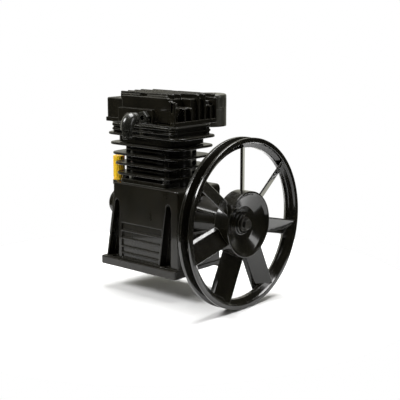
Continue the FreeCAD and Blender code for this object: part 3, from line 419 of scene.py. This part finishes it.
def paint(name, deep, thin, wear_and_highlight_colour, low_rough, high_rough, coat, level, grain, dust=(0.3, 0.28, 0.24),
          dusty=0.03,
          wear_and_highlight_amount=0.5, rounding=0.0008):
    """Paint over a sand casting: pooled and thin colour, edges lightened partly by wear and partly as a
    painted highlight, dust and orange peel.
    """
    t = Tree(name, Coat_Weight=coat, Coat_Roughness=0.05, Specular_IOR_Level=level)
    broad = t.ramp(t.noise(22, 5, 0.6), 0.0, 1.0, 0.32, 0.72)
    colour = t.mix(broad, deep, thin)
    # Edges mix toward a lighter colour: partly worn paint, partly a painted highlight where light catches the
    # rounded edges.
    wear_and_highlight_mask = t.sum(t.edges(0.0012), t.ramp(t.noise(160, 6, 0.7), 0.25, 1.0, 0.4, 0.66), "MULTIPLY")
    colour = t.mix(t.sum(wear_and_highlight_mask, wear_and_highlight_amount, "MULTIPLY"), colour, wear_and_highlight_colour)
    settled = t.sum(t.upward(), t.ramp(t.noise(60, 6, 0.65), 0.15, 1.0, 0.35, 0.7), "MULTIPLY")
    colour = t.mix(t.sum(settled, dusty, "MULTIPLY"), colour, dust)
    streaks = t.noise(35, 5, 0.6, (1.0, 1.0, 0.35))
    roughness = t.sum(t.ramp(streaks, low_rough, high_rough, 0.3, 0.7), t.sum(settled, 0.25, "MULTIPLY"))
    normal = t.bump(t.noise(90, 2, 0.4), 0.35, 0.0004, t.rounded_normal(rounding))
    normal = t.bump(t.noise(420, 3, 0.5), 0.3, grain, normal)
    normal = t.bump(t.noise(1500, 2, 0.5), 0.25, grain * 0.4, normal)
    return t.finish(colour, roughness, normal)


def metal(name, colour, tint, low_rough, high_rough, stretch=(1, 1, 1), scale=240, depth=0.00004, spots=None):
    """Machined, ground or forged metal with tool marks and a thin film of oil."""
    t = Tree(name, Metallic=1.0)
    marks = t.noise(scale, 5, 0.6, stretch)
    film = t.ramp(t.noise(40, 4, 0.6), 0.0, 1.0, 0.35, 0.7)
    shade = t.mix(film, colour, tint)
    if spots:
        shade = t.mix(t.ramp(t.noise(500, 6, 0.7), 0.0, 0.6, 0.58, 0.75), shade, spots)
    roughness = t.ramp(marks, low_rough, high_rough, 0.3, 0.7)
    return t.finish(shade, roughness, t.bump(marks, 0.5, depth, t.rounded_normal(0.0003)))


def sheet_stuff(name, colour, tint, rough, scale, depth, **uniform):
    """Fibre, paper, rubber or moulded plastic: a flecked surface with fine relief."""
    t = Tree(name, **uniform)
    flecks = t.noise(scale, 6, 0.7)
    shade = t.mix(t.ramp(flecks, 0.0, 1.0, 0.35, 0.65), colour, tint)
    roughness = t.ramp(t.noise(scale * 0.3, 4), rough - 0.08, rough + 0.08, 0.3, 0.7)
    return t.finish(shade, roughness, t.bump(flecks, 0.5, depth, t.rounded_normal(0.0003)))


def clear_glass():
    t = Tree("sight_glass", Transmission_Weight=1.0, IOR=1.5)
    smear = t.noise(120, 5, 0.6)
    shade = t.mix(t.ramp(smear, 0.0, 1.0, 0.4, 0.7), (0.9, 0.93, 0.88), (0.72, 0.66, 0.45))
    return t.finish(shade, t.ramp(smear, 0.02, 0.14, 0.4, 0.75))


# The fourth colour of each paint is its edge colour, lightened partly for wear and partly as a painted
# highlight on the edges.
MATERIALS = {
    "casting_paint": paint("casting_paint", (0.0050, 0.0044, 0.0024), (0.0105, 0.0090, 0.0052),
                           (0.26, 0.25, 0.2),
                           0.24, 0.4, 0.4, 0.14, 0.00012),
    "wheel_paint": paint("wheel_paint", (0.0036, 0.0032, 0.0018), (0.0085, 0.0076, 0.0045), (0.3, 0.29, 0.24),
                         0.1, 0.2, 0.35, 0.4, 0.00006),
    "black_fittings": paint("black_fittings", (0.009, 0.009, 0.0075), (0.02, 0.02, 0.016), (0.2, 0.19, 0.16),
                            0.2, 0.34, 0.4, 0.4, 0.00008),
    "filter_paint": paint("filter_paint", (0.030, 0.030, 0.022), (0.05, 0.049, 0.038), (0.2, 0.2, 0.17),
                          0.3, 0.44, 0.2, 0.35, 0.00006),
    "dark_fasteners": paint("dark_fasteners", (0.010, 0.010, 0.009), (0.028, 0.026, 0.022), (0.32, 0.3, 0.26),
                            0.24, 0.42, 0.3, 0.4, 0.00005, wear_and_highlight_amount=0.8, rounding=0.0004),
    "forged_steel": metal("forged_steel", (0.42, 0.41, 0.4), (0.3, 0.27, 0.22), 0.28, 0.46, (1, 1, 3),
                          300, 0.00008,
                          (0.16, 0.11, 0.07)),
    "bearing_steel": metal("bearing_steel", (0.62, 0.62, 0.63), (0.5, 0.48, 0.44), 0.12, 0.26, (3, 1, 1),
                           420, 0.00002),
    "piston_alloy": metal("piston_alloy", (0.72, 0.72, 0.73), (0.6, 0.57, 0.52), 0.24, 0.4, (1, 1, 8),
                          300, 0.00004,
                          (0.3, 0.25, 0.2)),
    "gasket_sheet": sheet_stuff("gasket_sheet", (0.11, 0.12, 0.1), (0.2, 0.2, 0.17), 0.85, 700, 0.00006),
    "seal_rubber": sheet_stuff("seal_rubber", (0.015, 0.015, 0.015), (0.035, 0.034, 0.032), 0.7, 600,
                               0.00004),
    "drain_copper": metal("drain_copper", (0.62, 0.29, 0.15), (0.36, 0.17, 0.1), 0.3, 0.5, (1, 1, 1),
                          260, 0.00004,
                          (0.12, 0.1, 0.06)),
    "filter_paper": sheet_stuff("filter_paper", (0.62, 0.52, 0.3), (0.74, 0.66, 0.44), 0.9, 900, 0.00008),
    "yellow_plastic": sheet_stuff("yellow_plastic", (0.84, 0.48, 0.008), (0.9, 0.58, 0.02), 0.38, 260,
                                  0.00005,
                                  Coat_Weight=0.25, Coat_Roughness=0.15, Subsurface_Weight=0.08,
                                  Subsurface_Scale=0.002),
    "sight_glass": clear_glass(),
}


# ---------------------------------------------------------------- crankcase

NUTS = [(side * 53.0, end * 43.5) for side in (-1, 1) for end in (-1, 1)]
POCKET_LEFT = [(-88.5, 16), (-59, 16), (-55, 115), (-56, 127), (-61, 132), (-66, 128), (-69.5, 112)]
POCKET_RIGHT = [(50, 16), (77, 16), (80, 118), (78, 130), (73, 137), (67, 131), (61, 92)]
RIB_GAPS = [(18.5, 25), (29, 38), (42, 54), (58, 69), (73, 86)]


def rib_gap(low, high):
    def right(height):
        return 45 + (height - 16) * 11 / 72
    return [(-50, low), (right(low), low), (right(high), high), (-50, high)]


def make_crankcase():
    outline = soften([(-95, 8), (97, 8), (97, 163), (-71, 163), (-71, 136)], [0, 0, 9, 6, 8], 5)
    added = [
        slab(outline, "Y", -60, 60, 3.0),
        slab(rectangle(98.5, 70), "Z", 0, 16, 2.2, 5, low_edge=0.8),
        rod(42, "X", (0, CRANK), -86, -60, 1.0, 72),
        rod(53, "X", (0, CRANK), 85, 103, 1.2, 80),
        rod(12.5, "Z", (-95, -20), 151, 160, 1.0),
        slab([(-97, -30), (-66, -34), (-66, -6), (-97, -10)], "Z", 152, 159, 1.0, 2),
        rod(12, "Y", (74, 148), 54, 63, 1.0),
        rod(19, "Y", (-20, 48), 54, 63, 1.2),
        rod(13, "Y", (28, 34), 54, 63, 1.2),
    ]
    removed = [
        slab([(-49, 16), (48, 16), (48, 154), (-49, 154)], "Y", -51, 51, 2, 3),
        slab([(-84, 16), (88, 16), (88, 154), (-62, 154), (-62, 136)], "Y", -37, 37, 2, 3),
        rod(26.02, "X", (0, CRANK), -87, -68, 0, 72),
        rod(20, "X", (0, CRANK), -87, -56, 0, 48),
        rod(40, "X", (0, CRANK), 83, 104, 0, 72),
    ]
    for side in (-1, 1):
        removed.append(rod(29, "Z", (32 * side, 0), 150, 164, 0, 64))
        for end in (-1, 1):
            removed.append(sink(circle(5.5, (-5 + 69 * side, 54 * end), 24), "Z", 16, -1, 0.8))
    for inner, outer in ((73, 100), (-83, -100)):
        removed.append(slab([(inner, -35), (outer, -35), (outer, 60), (inner, 60)], "Z", -4, 7, 0.8, 3))
    removed.append(rod(8, "Z", (-95, -20), 154, 161, 0, 32))
    for centre, radius in (((74, 148), 6), ((-20, 48), 12), ((28, 34), 6.5)):
        removed.append(rod(radius, "Y", centre, 38, 64, 0, 32))
    for end in (-1, 1):
        for pocket in (POCKET_LEFT, POCKET_RIGHT):
            removed.append(sink(pocket, "Y", 60 * end, 42 * end, 2.0, 3.5, 4))
        for low, high in RIB_GAPS:
            removed.append(sink(rib_gap(low, high), "Y", 60 * end, 56.5 * end, 1.9, 1.5, 4))
    piece("crankcase_casting", casting(added, removed), "pump", "casting_paint", "crankcase")


def make_end_covers():
    face = -86.5
    cup = face - 35.0
    outline = [(cup + 4, 0), (cup + 4, 20), (face, 22), (face, 41), (face - 8, 41), (face - 10, 39),
               (face - 10, 27),
               (cup + 4, 26.5), (cup + 1, 25), (cup, 22), (cup, 9), (cup + 2, 7), (cup + 2, 0)]
    cover = turned(outline, "X", (0, CRANK), 80, [0, 2, 0, 0.8, 1, 1, 2.5, 2, 2, 2, 1, 1, 0])
    spread = 34.5 / math.sqrt(2)
    places = [(spread * side, CRANK + spread * end) for side in (-1, 1) for end in (-1, 1)]
    holes = [rod(4.2, "X", place, face - 13, face + 1, 0, 24) for place in places]
    piece("rear_cover_casting", casting([cover], holes), "pump", "casting_paint", "rear_bearing_cover")
    bolts = []
    for place in places:
        bolts += bolt_head("X", place, face - 10, -1, 12, 5.3, turned_by=0.3)
        bolts.append(rod(3.95, "X", place, face - 10.5, face + 10, 0.4, 20))
    piece("rear_cover_bolt_set", gathered(bolts), "pump", "dark_fasteners", "rear_cover_bolts")

    face, nose = 103.5, 160.0
    outline = [(95, 36), (95, 39.97), (face, 39.97), (face, 52.5), (face + 8, 52.5), (face + 9, 51.5),
               (face + 9, 40.5),
               (nose - 14, 34), (nose, 31), (nose, 26), (150, 26), (150, 21), (115, 21), (115, 36)]
    shell = turned(outline, "X", (0, CRANK), 96, 0.8)
    fins = []
    fin = [(38, face + 6), (38, face + 14), (29, nose - 4), (34, nose - 4), (40, face + 30),
           (50, face + 9), (50, face + 6)]
    for step in range(6):
        angle = math.tau * step / 6
        solid = slab([(along, height) for height, along in fin], "Y", -2, 2, 0.8, 1.5)
        solid.transform(Matrix.Rotation(angle, 4, "X"))
        solid.transform(Matrix.Translation((0, 0, CRANK * MM)))
        fins.append(solid)
    places = [(46.5 * math.sin(math.radians(30 + 60 * k)), CRANK + 46.5 * math.cos(math.radians(30 + 60 * k)))
              for k in range(6)]
    holes = [rod(3.2, "X", place, face - 1, face + 12, 0, 20) for place in places]
    piece("drive_housing_casting", casting([shell] + fins, holes), "pump", "casting_paint",
          "drive_end_housing")
    bolts = []
    for place in places:
        bolts += bolt_head("X", place, face + 9, 1, 10, 5.0)
        bolts.append(rod(2.95, "X", place, face - 11, face + 9.5, 0.4, 20))
    piece("drive_housing_bolt_set", gathered(bolts), "pump", "dark_fasteners", "drive_housing_bolts")


# ---------------------------------------------------------------- cylinder block and head

FIN_HALF_LENGTHS = [98.0, 93.0, 87.0, 81.0, 76.0]
HEAD_BOLTS = [(side * 72.0, end * 44.0) for side in (-1, 1) for end in (-1, 1)] + [(0.0, -46.0), (0.0, 46.0)]


def make_block():
    added = [
        slab(rectangle(62, 53), "Z", 163.5, 171, 1.2, 12),
        slab(rectangle(72, 46), "Z", 240, 258, 1.2, 12),
        slab(rectangle(75, 47), "Z", 257, 275, 1.2, 12),
        slab(rectangle(82, 55), "Z", 270.5, 275, 1.2, 12, 4),
        slab(rectangle(82, 55), "Z", 262.4, 266.9, 1.7, 12, 4),
    ]
    added += [rod(8.5, "Z", place, 257, 275, 1.0, 32) for place in HEAD_BOLTS]
    for side in (-1, 1):
        added.append(rod(35, "Z", (32 * side, 0), 163.5, 275, 0.4, 80))
        for end in (-1, 1):
            added.append(rod(4.5, "Z", (50 * side, 38 * end), 179, 245, 0.5, 24))
    for step, half_length in enumerate(FIN_HALF_LENGTHS):
        low = 255.3 - 18.75 * step - 2.25
        added.append(slab(rectangle(half_length, 56), "Z", low, low + 4.5, 1.7, 26, 4))
        if step > 0:
            middle = low + 9.375
            added.append(slab(rectangle(62, 47), "Z", middle, middle + 4.5, 1.7, 30, 4))
    removed = [rod(26.0, "Z", (32 * side, 0), 162, 277, 0, 96) for side in (-1, 1)]
    removed += [rod(4.3, "Z", place, 162, 176, 0, 20) for place in NUTS]
    removed += [rod(4.3, "Z", place, 258.5, 277, 0, 20) for place in HEAD_BOLTS]
    piece("cylinder_block_casting", casting(added, removed), "pump", "casting_paint", "cylinder_block")
    nuts = []
    for place in NUTS:
        nuts += bolt_head("Z", place, 171, 1, 13, 6.0, turned_by=0.4)
        nuts.append(rod(3.95, "Z", place, 155, 178, 0.5, 20))
    piece("block_nut_set", gathered(nuts), "pump", "dark_fasteners", "block_studs_and_nuts")


RIDGES = [(-45.0, -60.0, 60.0), (-28.0, -77.0, 60.0), (-10.0, -77.0, 60.0), (8.0, -77.0, 85.0),
          (25.0, -77.0, 85.0), (41.0, -60.0, 85.0), (57.0, -45.0, 85.0)]
END_FINS = [(-57.0, 324.0), (-30.0, 311.0), (-12.0, 311.0), (8.0, 334.0), (25.0, 334.0), (41.0, 330.0),
            (57.0, 326.0)]


def make_head():
    added = [
        slab(rectangle(89, 59.5), "Z", 279, 287, 1.2, 3),
        slab(rectangle(43.5, 58.5, (-43.5, 0)), "Z", 281, 324, 2.5, 6),
        slab([(-45, -59.5), (82, -59.5), (82, 59.5), (-45, 59.5)], "Z", 281, 326, 2.2, 4),
        slab([(-50, 281), (40, 281), (40, 308), (-50, 308)], "Y", -64.5, -56, 1.4, 2),
    ]
    added.append(slab([(-45, 322), (76, 322), (76, 330.5), (-45, 330.5)], "Y", -59.5, -54, 1.6,
                      [0, 0, 6, 2], 4))
    for across, start, end in RIDGES:
        height = 335 if abs(across) < 45 else 333
        outline = [(start, 322), (end, 322), (end, height), (start, height)]
        added.append(slab(outline, "Y", across - 2.25, across + 2.25, 1.7, [0, 0, 3, 2], 4))
    for across, height in END_FINS:
        outline = [(79, 283), (89, 283), (89, height), (79, height)]
        added.append(slab(outline, "Y", across - 2.2, across + 2.2, 1.7, [0, 0, 3, 0.5], 4))
    removed = [
        sink([(60, -54), (92, -54), (92, -8), (60, -8)], "Z", 326, 311, 1.2, [2.5, 0, 0, 2.5]),
        sink([(60, 30), (92, 30), (92, 54), (60, 54)], "Z", 326, 311, 1.2, [2.5, 0, 0, 2.5]),
        slab([(60.5, -53), (92, -53), (92, -9), (60.5, -9)], "Z", 327, 345, 0),
        slab([(60.5, 31), (92, 31), (92, 53), (60.5, 53)], "Z", 327, 345, 0),
        rod(8, "Y", (23, 293.5), -67, -34, 0, 32),
        rod(8, "Y", (41, 288), 38, 63, 0, 32),
        rod(4.55, "Y", (-21, 291.5), -66, -53, 0, 24),
    ]
    for across in (-41, 5):
        removed.append(slab([(-60, across), (60, across), (60, across + 36), (-60, across + 36)], "Z",
                            278, 305, 1, 6))
    for x, y in HEAD_BOLTS:
        removed.append(rod(4.3, "Z", (x, y), 278, 345, 0, 20))
        if x <= 0:
            removed.append(sink(circle(9.5, (x, y), 32), "Z", 326 if x == 0 else 324, 311, 1.0))
            removed.append(rod(9.5, "Z", (x, y), 326.5, 345, 0, 32))
    piece("cylinder_head_casting", casting(added, removed), "pump", "casting_paint", "cylinder_head")
    bolts = []
    for x, y in HEAD_BOLTS:
        bolts += bolt_head("Z", (x, y), 311, 1, 14, 7.6, 8.5, 0.2 + x * 0.01)
        bolts.append(rod(4.15, "Z", (x, y), 260.2, 312, 0.6, 24))
    piece("head_bolt_set", gathered(bolts), "pump", "dark_fasteners", "head_bolts")


# ---------------------------------------------------------------- fittings

def make_elbow():
    along, height, reach, radius = 23.0, 293.5, 112.0, 12.0
    path = [(along, -67, height)]
    radii = [9.0]
    for y in (-80, -92, -98):
        path.append((along, y, height))
        radii.append(9.0 if y > -90 else 10.8)
    for step in range(1, 9):
        angle = math.pi / 2 * step / 8
        path.append((along, -100 - 12 * math.sin(angle), height - 12 * (1 - math.cos(angle))))
        radii.append(radius)
    for z in (279, 277, 275):
        path.append((along, -reach, z))
        radii.append(radius)
    body = sweep(path, radii, 40)
    hexed = slab(hexagon(22, (along, height), 0.25), "Y", -74.5, -65.5, 1.0, 0.8)
    collar = turned([(-91, 0), (-91, 11), (-96, 11), (-96, 0)], "Y", (along, height), 48, 0.8)
    male = rod(7.0, "Z", (along, -reach), 266, 276, 0.3, 40)
    thread = rod(7.9, "Y", (along, height), -68.5, -54.5, 0.5, 40)
    bores = [
        rod(5, "Y", (along, height), -112, -53, 0, 32),
        rod(5, "Z", (along, -reach), 257, 293.5, 0, 32),
    ]
    mesh = casting([body, hexed, collar, male, thread], bores)
    piece("elbow_casting", mesh, "pump", "black_fittings", "discharge_elbow")
    nut = slab(hexagon(17, (along, -reach), 0.1), "Z", 258, 274.8, 0.3, 0.5)
    crown = rod(9.45, "Z", (along, -reach), 258, 274.8, 1.6, 40)
    nut = solid_of(nut, [crown], "INTERSECT")
    groove = turned([(262, 8.3), (263.2, 8.3), (263.2, 12), (262, 12)], "Z", (along, -reach), 40, 0)
    nut = casting([nut], [rod(7.1, "Z", (along, -reach), 264, 277, 0, 32),
                          rod(6.05, "Z", (along, -reach), 256, 266, 0, 32),
                          groove])
    piece("elbow_flare_nut", nut, "pump", "black_fittings", "flare_nut")
    plug = bolt_head("Y", (-21, 291.5), -64.5, -1, 14, 6, 0.0, 0.35)
    plug.append(rod(4.45, "Y", (-21, 291.5), -65, -54.5, 0.5, 24))
    piece("port_plug_bolt", gathered(plug), "pump", "dark_fasteners", "port_plug")


def make_filter():
    along, across = 41.0, 96.0
    cup = turned([(266, 0), (266, 31), (300, 31), (300, 29), (268, 29), (268, 0)], "Z", (along, across),
                 96, 1.2)
    bead = turned([(296.5, 29.5), (296.5, 31), (299.8, 31), (299.8, 29.5)], "Z", (along, across), 96, 0.6)
    neck = rod(10.5, "Y", (along, 288), 59.5, 69.5, 1.0, 40)
    spigot = rod(7.9, "Y", (along, 288), 52.5, 61, 0.4, 32)
    bore = rod(6, "Y", (along, 288), 51.5, 92, 0, 32)
    piece("filter_cup", casting([cup, bead, neck, spigot], [bore]), "pump", "filter_paint", "filter_base")

    steps = 144
    heights = [(300, 30.6), (300.4, 31), (303, 31), (304.5, 31), (318, 31), (320, 31), (323, 31)]
    heights += [(324 + 4 * math.sin(a), 27 + 4 * math.cos(a)) for a in (0.3, 0.6, 0.9, 1.2, 1.5)]
    loops = []
    for height, radius in heights:
        ring = []
        for i in range(steps):
            a = math.tau * i / steps
            sunk = 1.2 * max(0.0, math.cos(18 * a)) ** 0.6 if 304 < height < 319 else 0.0
            ring.append(Vector((along + (radius - sunk) * math.sin(a),
                                across + (radius - sunk) * math.cos(a), height)) * MM)
        loops.append(ring)
    shell = loft(loops)
    dish = turned([(326.6, 0), (326.6, 12), (329, 14), (329, 0)], "Z", (along, across), 48, 0.5)
    inside = rod(28.5, "Z", (along, across), 299, 326 - 1.6, 0, 64)
    piece("filter_shell", casting([shell], [inside, dish]), "pump", "filter_paint", "filter_cover")


def make_filler_cap():
    along, across, steps = -95.0, -20.0, 120
    heights = [(160, 10.9), (160.6, 11.5), (163, 11.5), (163.6, 10.9), (165, 10.9), (165.6, 11.5),
               (204, 11.5)]
    heights += [(206 + 2 * math.sin(a), 9.5 + 2 * math.cos(a)) for a in (0.3, 0.7, 1.1, 1.5)]
    loops = []
    for height, radius in heights:
        ring = []
        for i in range(steps):
            a = math.tau * i / steps
            flute = 0.55 * (0.5 + 0.5 * math.cos(20 * a)) if 165.3 < height < 205 else 0.0
            ring.append(Vector((along + (radius - flute) * math.sin(a),
                                across + (radius - flute) * math.cos(a), height)) * MM)
        loops.append(ring)
    plug = rod(7.9, "Z", (along, across), 155, 161, 0.5, 32)
    dimple = turned([(206.8, 0), (206.8, 5.5), (209, 6.5), (209, 0)], "Z", (along, across), 40, 0.4)
    mesh = casting([loft(loops), plug], [dimple])
    piece("oil_filler_cap_moulding", mesh, "oil_cap", "yellow_plastic", "oil_filler_cap")


def make_breather():
    x, z = 74.0, 148.0
    added = [
        rod(5.9, "Y", (x, z), 49, 64, 0.4, 28),
        slab(hexagon(16, (x, z), 0.0), "Y", 63, 68, 0.6, 0.6),
        turned([(67, 0), (67, 9), (76, 9), (76, 0)], "Y", (x, z), 48, 1.4),
        turned([(75, 0), (75, 5), (81, 5), (81, 0)], "Y", (x, z), 32, 0.8),
    ]
    slots = [turned([(y, 8.2), (y + 1.2, 8.2), (y + 1.2, 11), (y, 11)], "Y", (x, z), 48,
                    0) for y in (69.5, 72.5)]
    bore = rod(3, "Y", (x, z), 48, 84, 0, 24)
    piece("breather_body", casting(added, slots + [bore]), "pump", "black_fittings", "crankcase_breather")


def make_back_fittings():
    rim = turned([(63, 8), (63, 16), (68, 16), (68, 11), (64, 11), (64, 8)], "Y", (-20, 48), 64, 0.5)
    thread = turned([(52, 8), (52, 11.9), (63.4, 11.9), (63.4, 8)], "Y", (-20, 48), 48, 0)
    notches = [rod(1.6, "Y",
                   (-20 + 16.4 * math.cos(math.tau * k / 8), 48 + 16.4 * math.sin(math.tau * k / 8)),
                   64.5, 70,
                   0, 16) for k in range(8)]
    piece("sight_glass_ring", casting([rim, thread], notches), "pump", "black_fittings", "sight_glass_bezel")
    plug = bolt_head("Y", (28, 34), 64.5, 1, 17, 8, 0.0, 0.5)
    plug.append(rod(6.35, "Y", (28, 34), 50.5, 65, 0.5, 32))
    piece("drain_plug_bolt", gathered(plug), "pump", "dark_fasteners", "drain_plug")


# ---------------------------------------------------------------- flywheel

def make_flywheel():
    front, back, radius = 211.0, 183.5, 155.0
    hub, hub_front, hub_back, boss, bore = 60.0, 214.0, 183.0, 18.5, 13.0
    boss_front = 203.5
    hub_outline = [
        (hub_back, bore), (boss_front, bore), (boss_front, boss - 1), (boss_front - 1, boss),
        (boss_front - 6, boss + 1), (boss_front - 3, boss + 14), (hub_front - 5, hub - 8),
                   (hub_front, hub - 3),
        (hub_front, hub - 1), (hub_front - 1, hub), (hub_back, hub), (hub_back, hub - 6),
                   (hub_back + 8, hub - 12),
        (hub_back + 8, boss + 6), (hub_back, boss + 4),
    ]
    floor = radius - 13
    groove_back = back + 6
    groove_front = groove_back + 17
    slope = 13 * math.tan(math.radians(19))
    rim_outline = [
        (back, radius), (groove_back, radius), (groove_back + slope, floor), (groove_front - slope, floor),
        (groove_front, radius), (front, radius), (front, radius - 8), (front - 4, radius - 10),
        (front - 9, floor - 5), (back + 10, floor - 5), (back + 4, radius - 11), (back, radius - 9),
    ]
    added = [turned(hub_outline, "X", (0, CRANK), 128,
                    [0.5, 0.5, 1, 1, 4, 10, 6, 2, 1, 1, 1.5, 2, 4, 4, 1.5]),
             turned(rim_outline, "X", (0, CRANK), 224, [1.2, 0.7, 0.8, 0.8, 0.7, 1.4, 2, 2, 3, 3, 2, 1.5])]
    half = 2.2
    tip, heel, lip = (-16.5, front - 0.5), (10.0, back + 8.4), (13.0, back)
    section = [(tip[0] - 1.2, tip[1] - half * 0.9), (tip[0] + 1.2, tip[1]),
               (heel[0] + half * 0.95, heel[1] + half * 0.6), (lip[0] + half, lip[1]),
               (lip[0] - half, lip[1]), (heel[0] - half * 0.9, heel[1] - half * 0.35)]
    for step in range(7):
        rounded = soften(section, [1.0, 1.0, 5, 1.5, 1.5, 3], 4)
        blade = slab([(p.y, p.x) for p in rounded], "Z", 56, 143, 0)
        blade.transform(Matrix.Rotation(-math.tau * step / 7, 4, "X"))
        blade.transform(Matrix.Translation((0, 0, CRANK * MM)))
        added.append(blade)
    keyway = slab(rectangle(4, 3.15, (0, CRANK + bore + 0.15)), "X", hub_back - 1, 215, 0)
    piece("flywheel_casting", casting(added, [keyway]), "crankshaft", "wheel_paint", "flywheel", sharp=38)
    bolt = bolt_head("X", (0, CRANK), boss_front + 3, 1, 17, 6.5, 0.0, 0.3)
    bolt.append(rod(4.95, "X", (0, CRANK), boss_front - 25, boss_front + 3.5, 0.5, 24))
    piece("flywheel_centre_bolt", gathered(bolt), "crankshaft", "dark_fasteners", "flywheel_bolt")
    washer = turned([(boss_front, 6.3), (boss_front, 13), (boss_front + 3, 13), (boss_front + 3, 6.3)],
                    "X", (0, CRANK),
                    56, 0.6)
    piece("flywheel_thick_washer", washer, "crankshaft", "dark_fasteners", "flywheel_washer")


make_crankcase()
make_end_covers()
make_block()
make_head()
make_elbow()
make_filter()
make_filler_cap()
make_breather()
make_back_fittings()
make_flywheel()

# Carried-over CAD nodes keep their shape and take the finished materials.
for row in frame["record"]["subparts"]:
    node = frame["nodes"][row["node"]]
    node.data.materials.clear()
    node.data.materials.append(MATERIALS[row["material_slot"]])


# ---------------------------------------------------------------- floor, light and camera

def area_light(name, place, target, size, power, tint=(1, 1, 1)):
    light = bpy.data.lights.new(name, "AREA")
    light.shape = "RECTANGLE"
    light.size, light.size_y = size
    light.energy = power
    light.color = tint
    obj = bpy.data.objects.new(name, light)
    bpy.context.scene.collection.objects.link(obj)
    obj.location = place
    obj.rotation_euler = (Vector(target) - Vector(place)).to_track_quat("-Z", "Y").to_euler()


def stage_disc(name, radius, tint, rough):
    bm = bmesh.new()
    bm.faces.new([bm.verts.new((p.x, p.y, 0)) for p in circle(radius, steps=96)])
    mesh = bpy.data.meshes.new(name)
    bm.to_mesh(mesh)
    bm.free()
    obj = link(mesh, name)
    t = Tree(name, Roughness=rough)
    t.surface.inputs["Base Color"].default_value = (*tint, 1)
    t.surface.inputs["Specular IOR Level"].default_value = 0.2
    mesh.materials.append(t.material)
    return obj


ROOM_FRONT, ROOM_BACK = 0.05, 0.7
floor = stage_disc("floor", 0.5, (0.93, 0.93, 0.93), 0.9)
floor.location = (0, 0, CAD_LOW.z - 0.0005)

world = bpy.data.worlds.new("studio")
world.use_nodes = True
nodes, links = world.node_tree.nodes, world.node_tree.links
seen = nodes.new("ShaderNodeLightPath")
toward = nodes.new("ShaderNodeTexCoord")
facing = nodes.new("ShaderNodeVectorMath")
facing.operation = "DOT_PRODUCT"
facing.inputs[1].default_value = (-0.8, 0.6, 0.0)
fade = nodes.new("ShaderNodeMapRange")
fade.interpolation_type = "SMOOTHSTEP"
for socket, value in (("From Min", 0.25), ("From Max", 0.9), ("To Min", ROOM_FRONT), ("To Max", ROOM_BACK)):
    fade.inputs[socket].default_value = value
links.new(toward.outputs["Generated"], facing.inputs[0])
links.new(facing.outputs["Value"], fade.inputs["Value"])
room = nodes.new("ShaderNodeBackground")
room.inputs["Color"].default_value = (0.96, 0.95, 0.82, 1)
links.new(fade.outputs[0], room.inputs["Strength"])
backdrop = nodes["Background"]
backdrop.inputs["Color"].default_value = (1, 1, 1, 1)
backdrop.inputs["Strength"].default_value = 1.0
choice = nodes.new("ShaderNodeMixShader")
links.new(seen.outputs["Is Camera Ray"], choice.inputs[0])
links.new(room.outputs[0], choice.inputs[1])
links.new(backdrop.outputs[0], choice.inputs[2])
links.new(choice.outputs[0], nodes["World Output"].inputs[0])
bpy.context.scene.world = world
bpy.context.scene.view_settings.view_transform = "Standard"

area_light("key", (-1.1, -1.6, 1.9), (0, 0, 0.15), (1.0, 1.0), 60)
area_light("top", (0.1, 0.5, 2.2), (0, 0, 0.1), (2.0, 1.2), 95)
area_light("side", (2.2, 0.9, 0.9), (0.1, 0, 0.12), (0.4, 1.4), 8)

camera_data = bpy.data.cameras.new("camera")
camera_data.lens = 84.83
camera_data.sensor_width = 36.0
camera_data.clip_end = 100.0
camera = bpy.data.objects.new("camera", camera_data)
bpy.context.scene.collection.objects.link(camera)
azimuth, elevation = math.radians(41.05), math.radians(11.06)
back = Vector((math.sin(azimuth) * math.cos(elevation), -math.cos(azimuth) * math.cos(elevation),
               math.sin(elevation)))
camera.location = (1.22455, -1.29383, 0.47531)
camera.rotation_euler = (-back).to_track_quat("-Z", "Y").to_euler()
bpy.context.scene.camera = camera
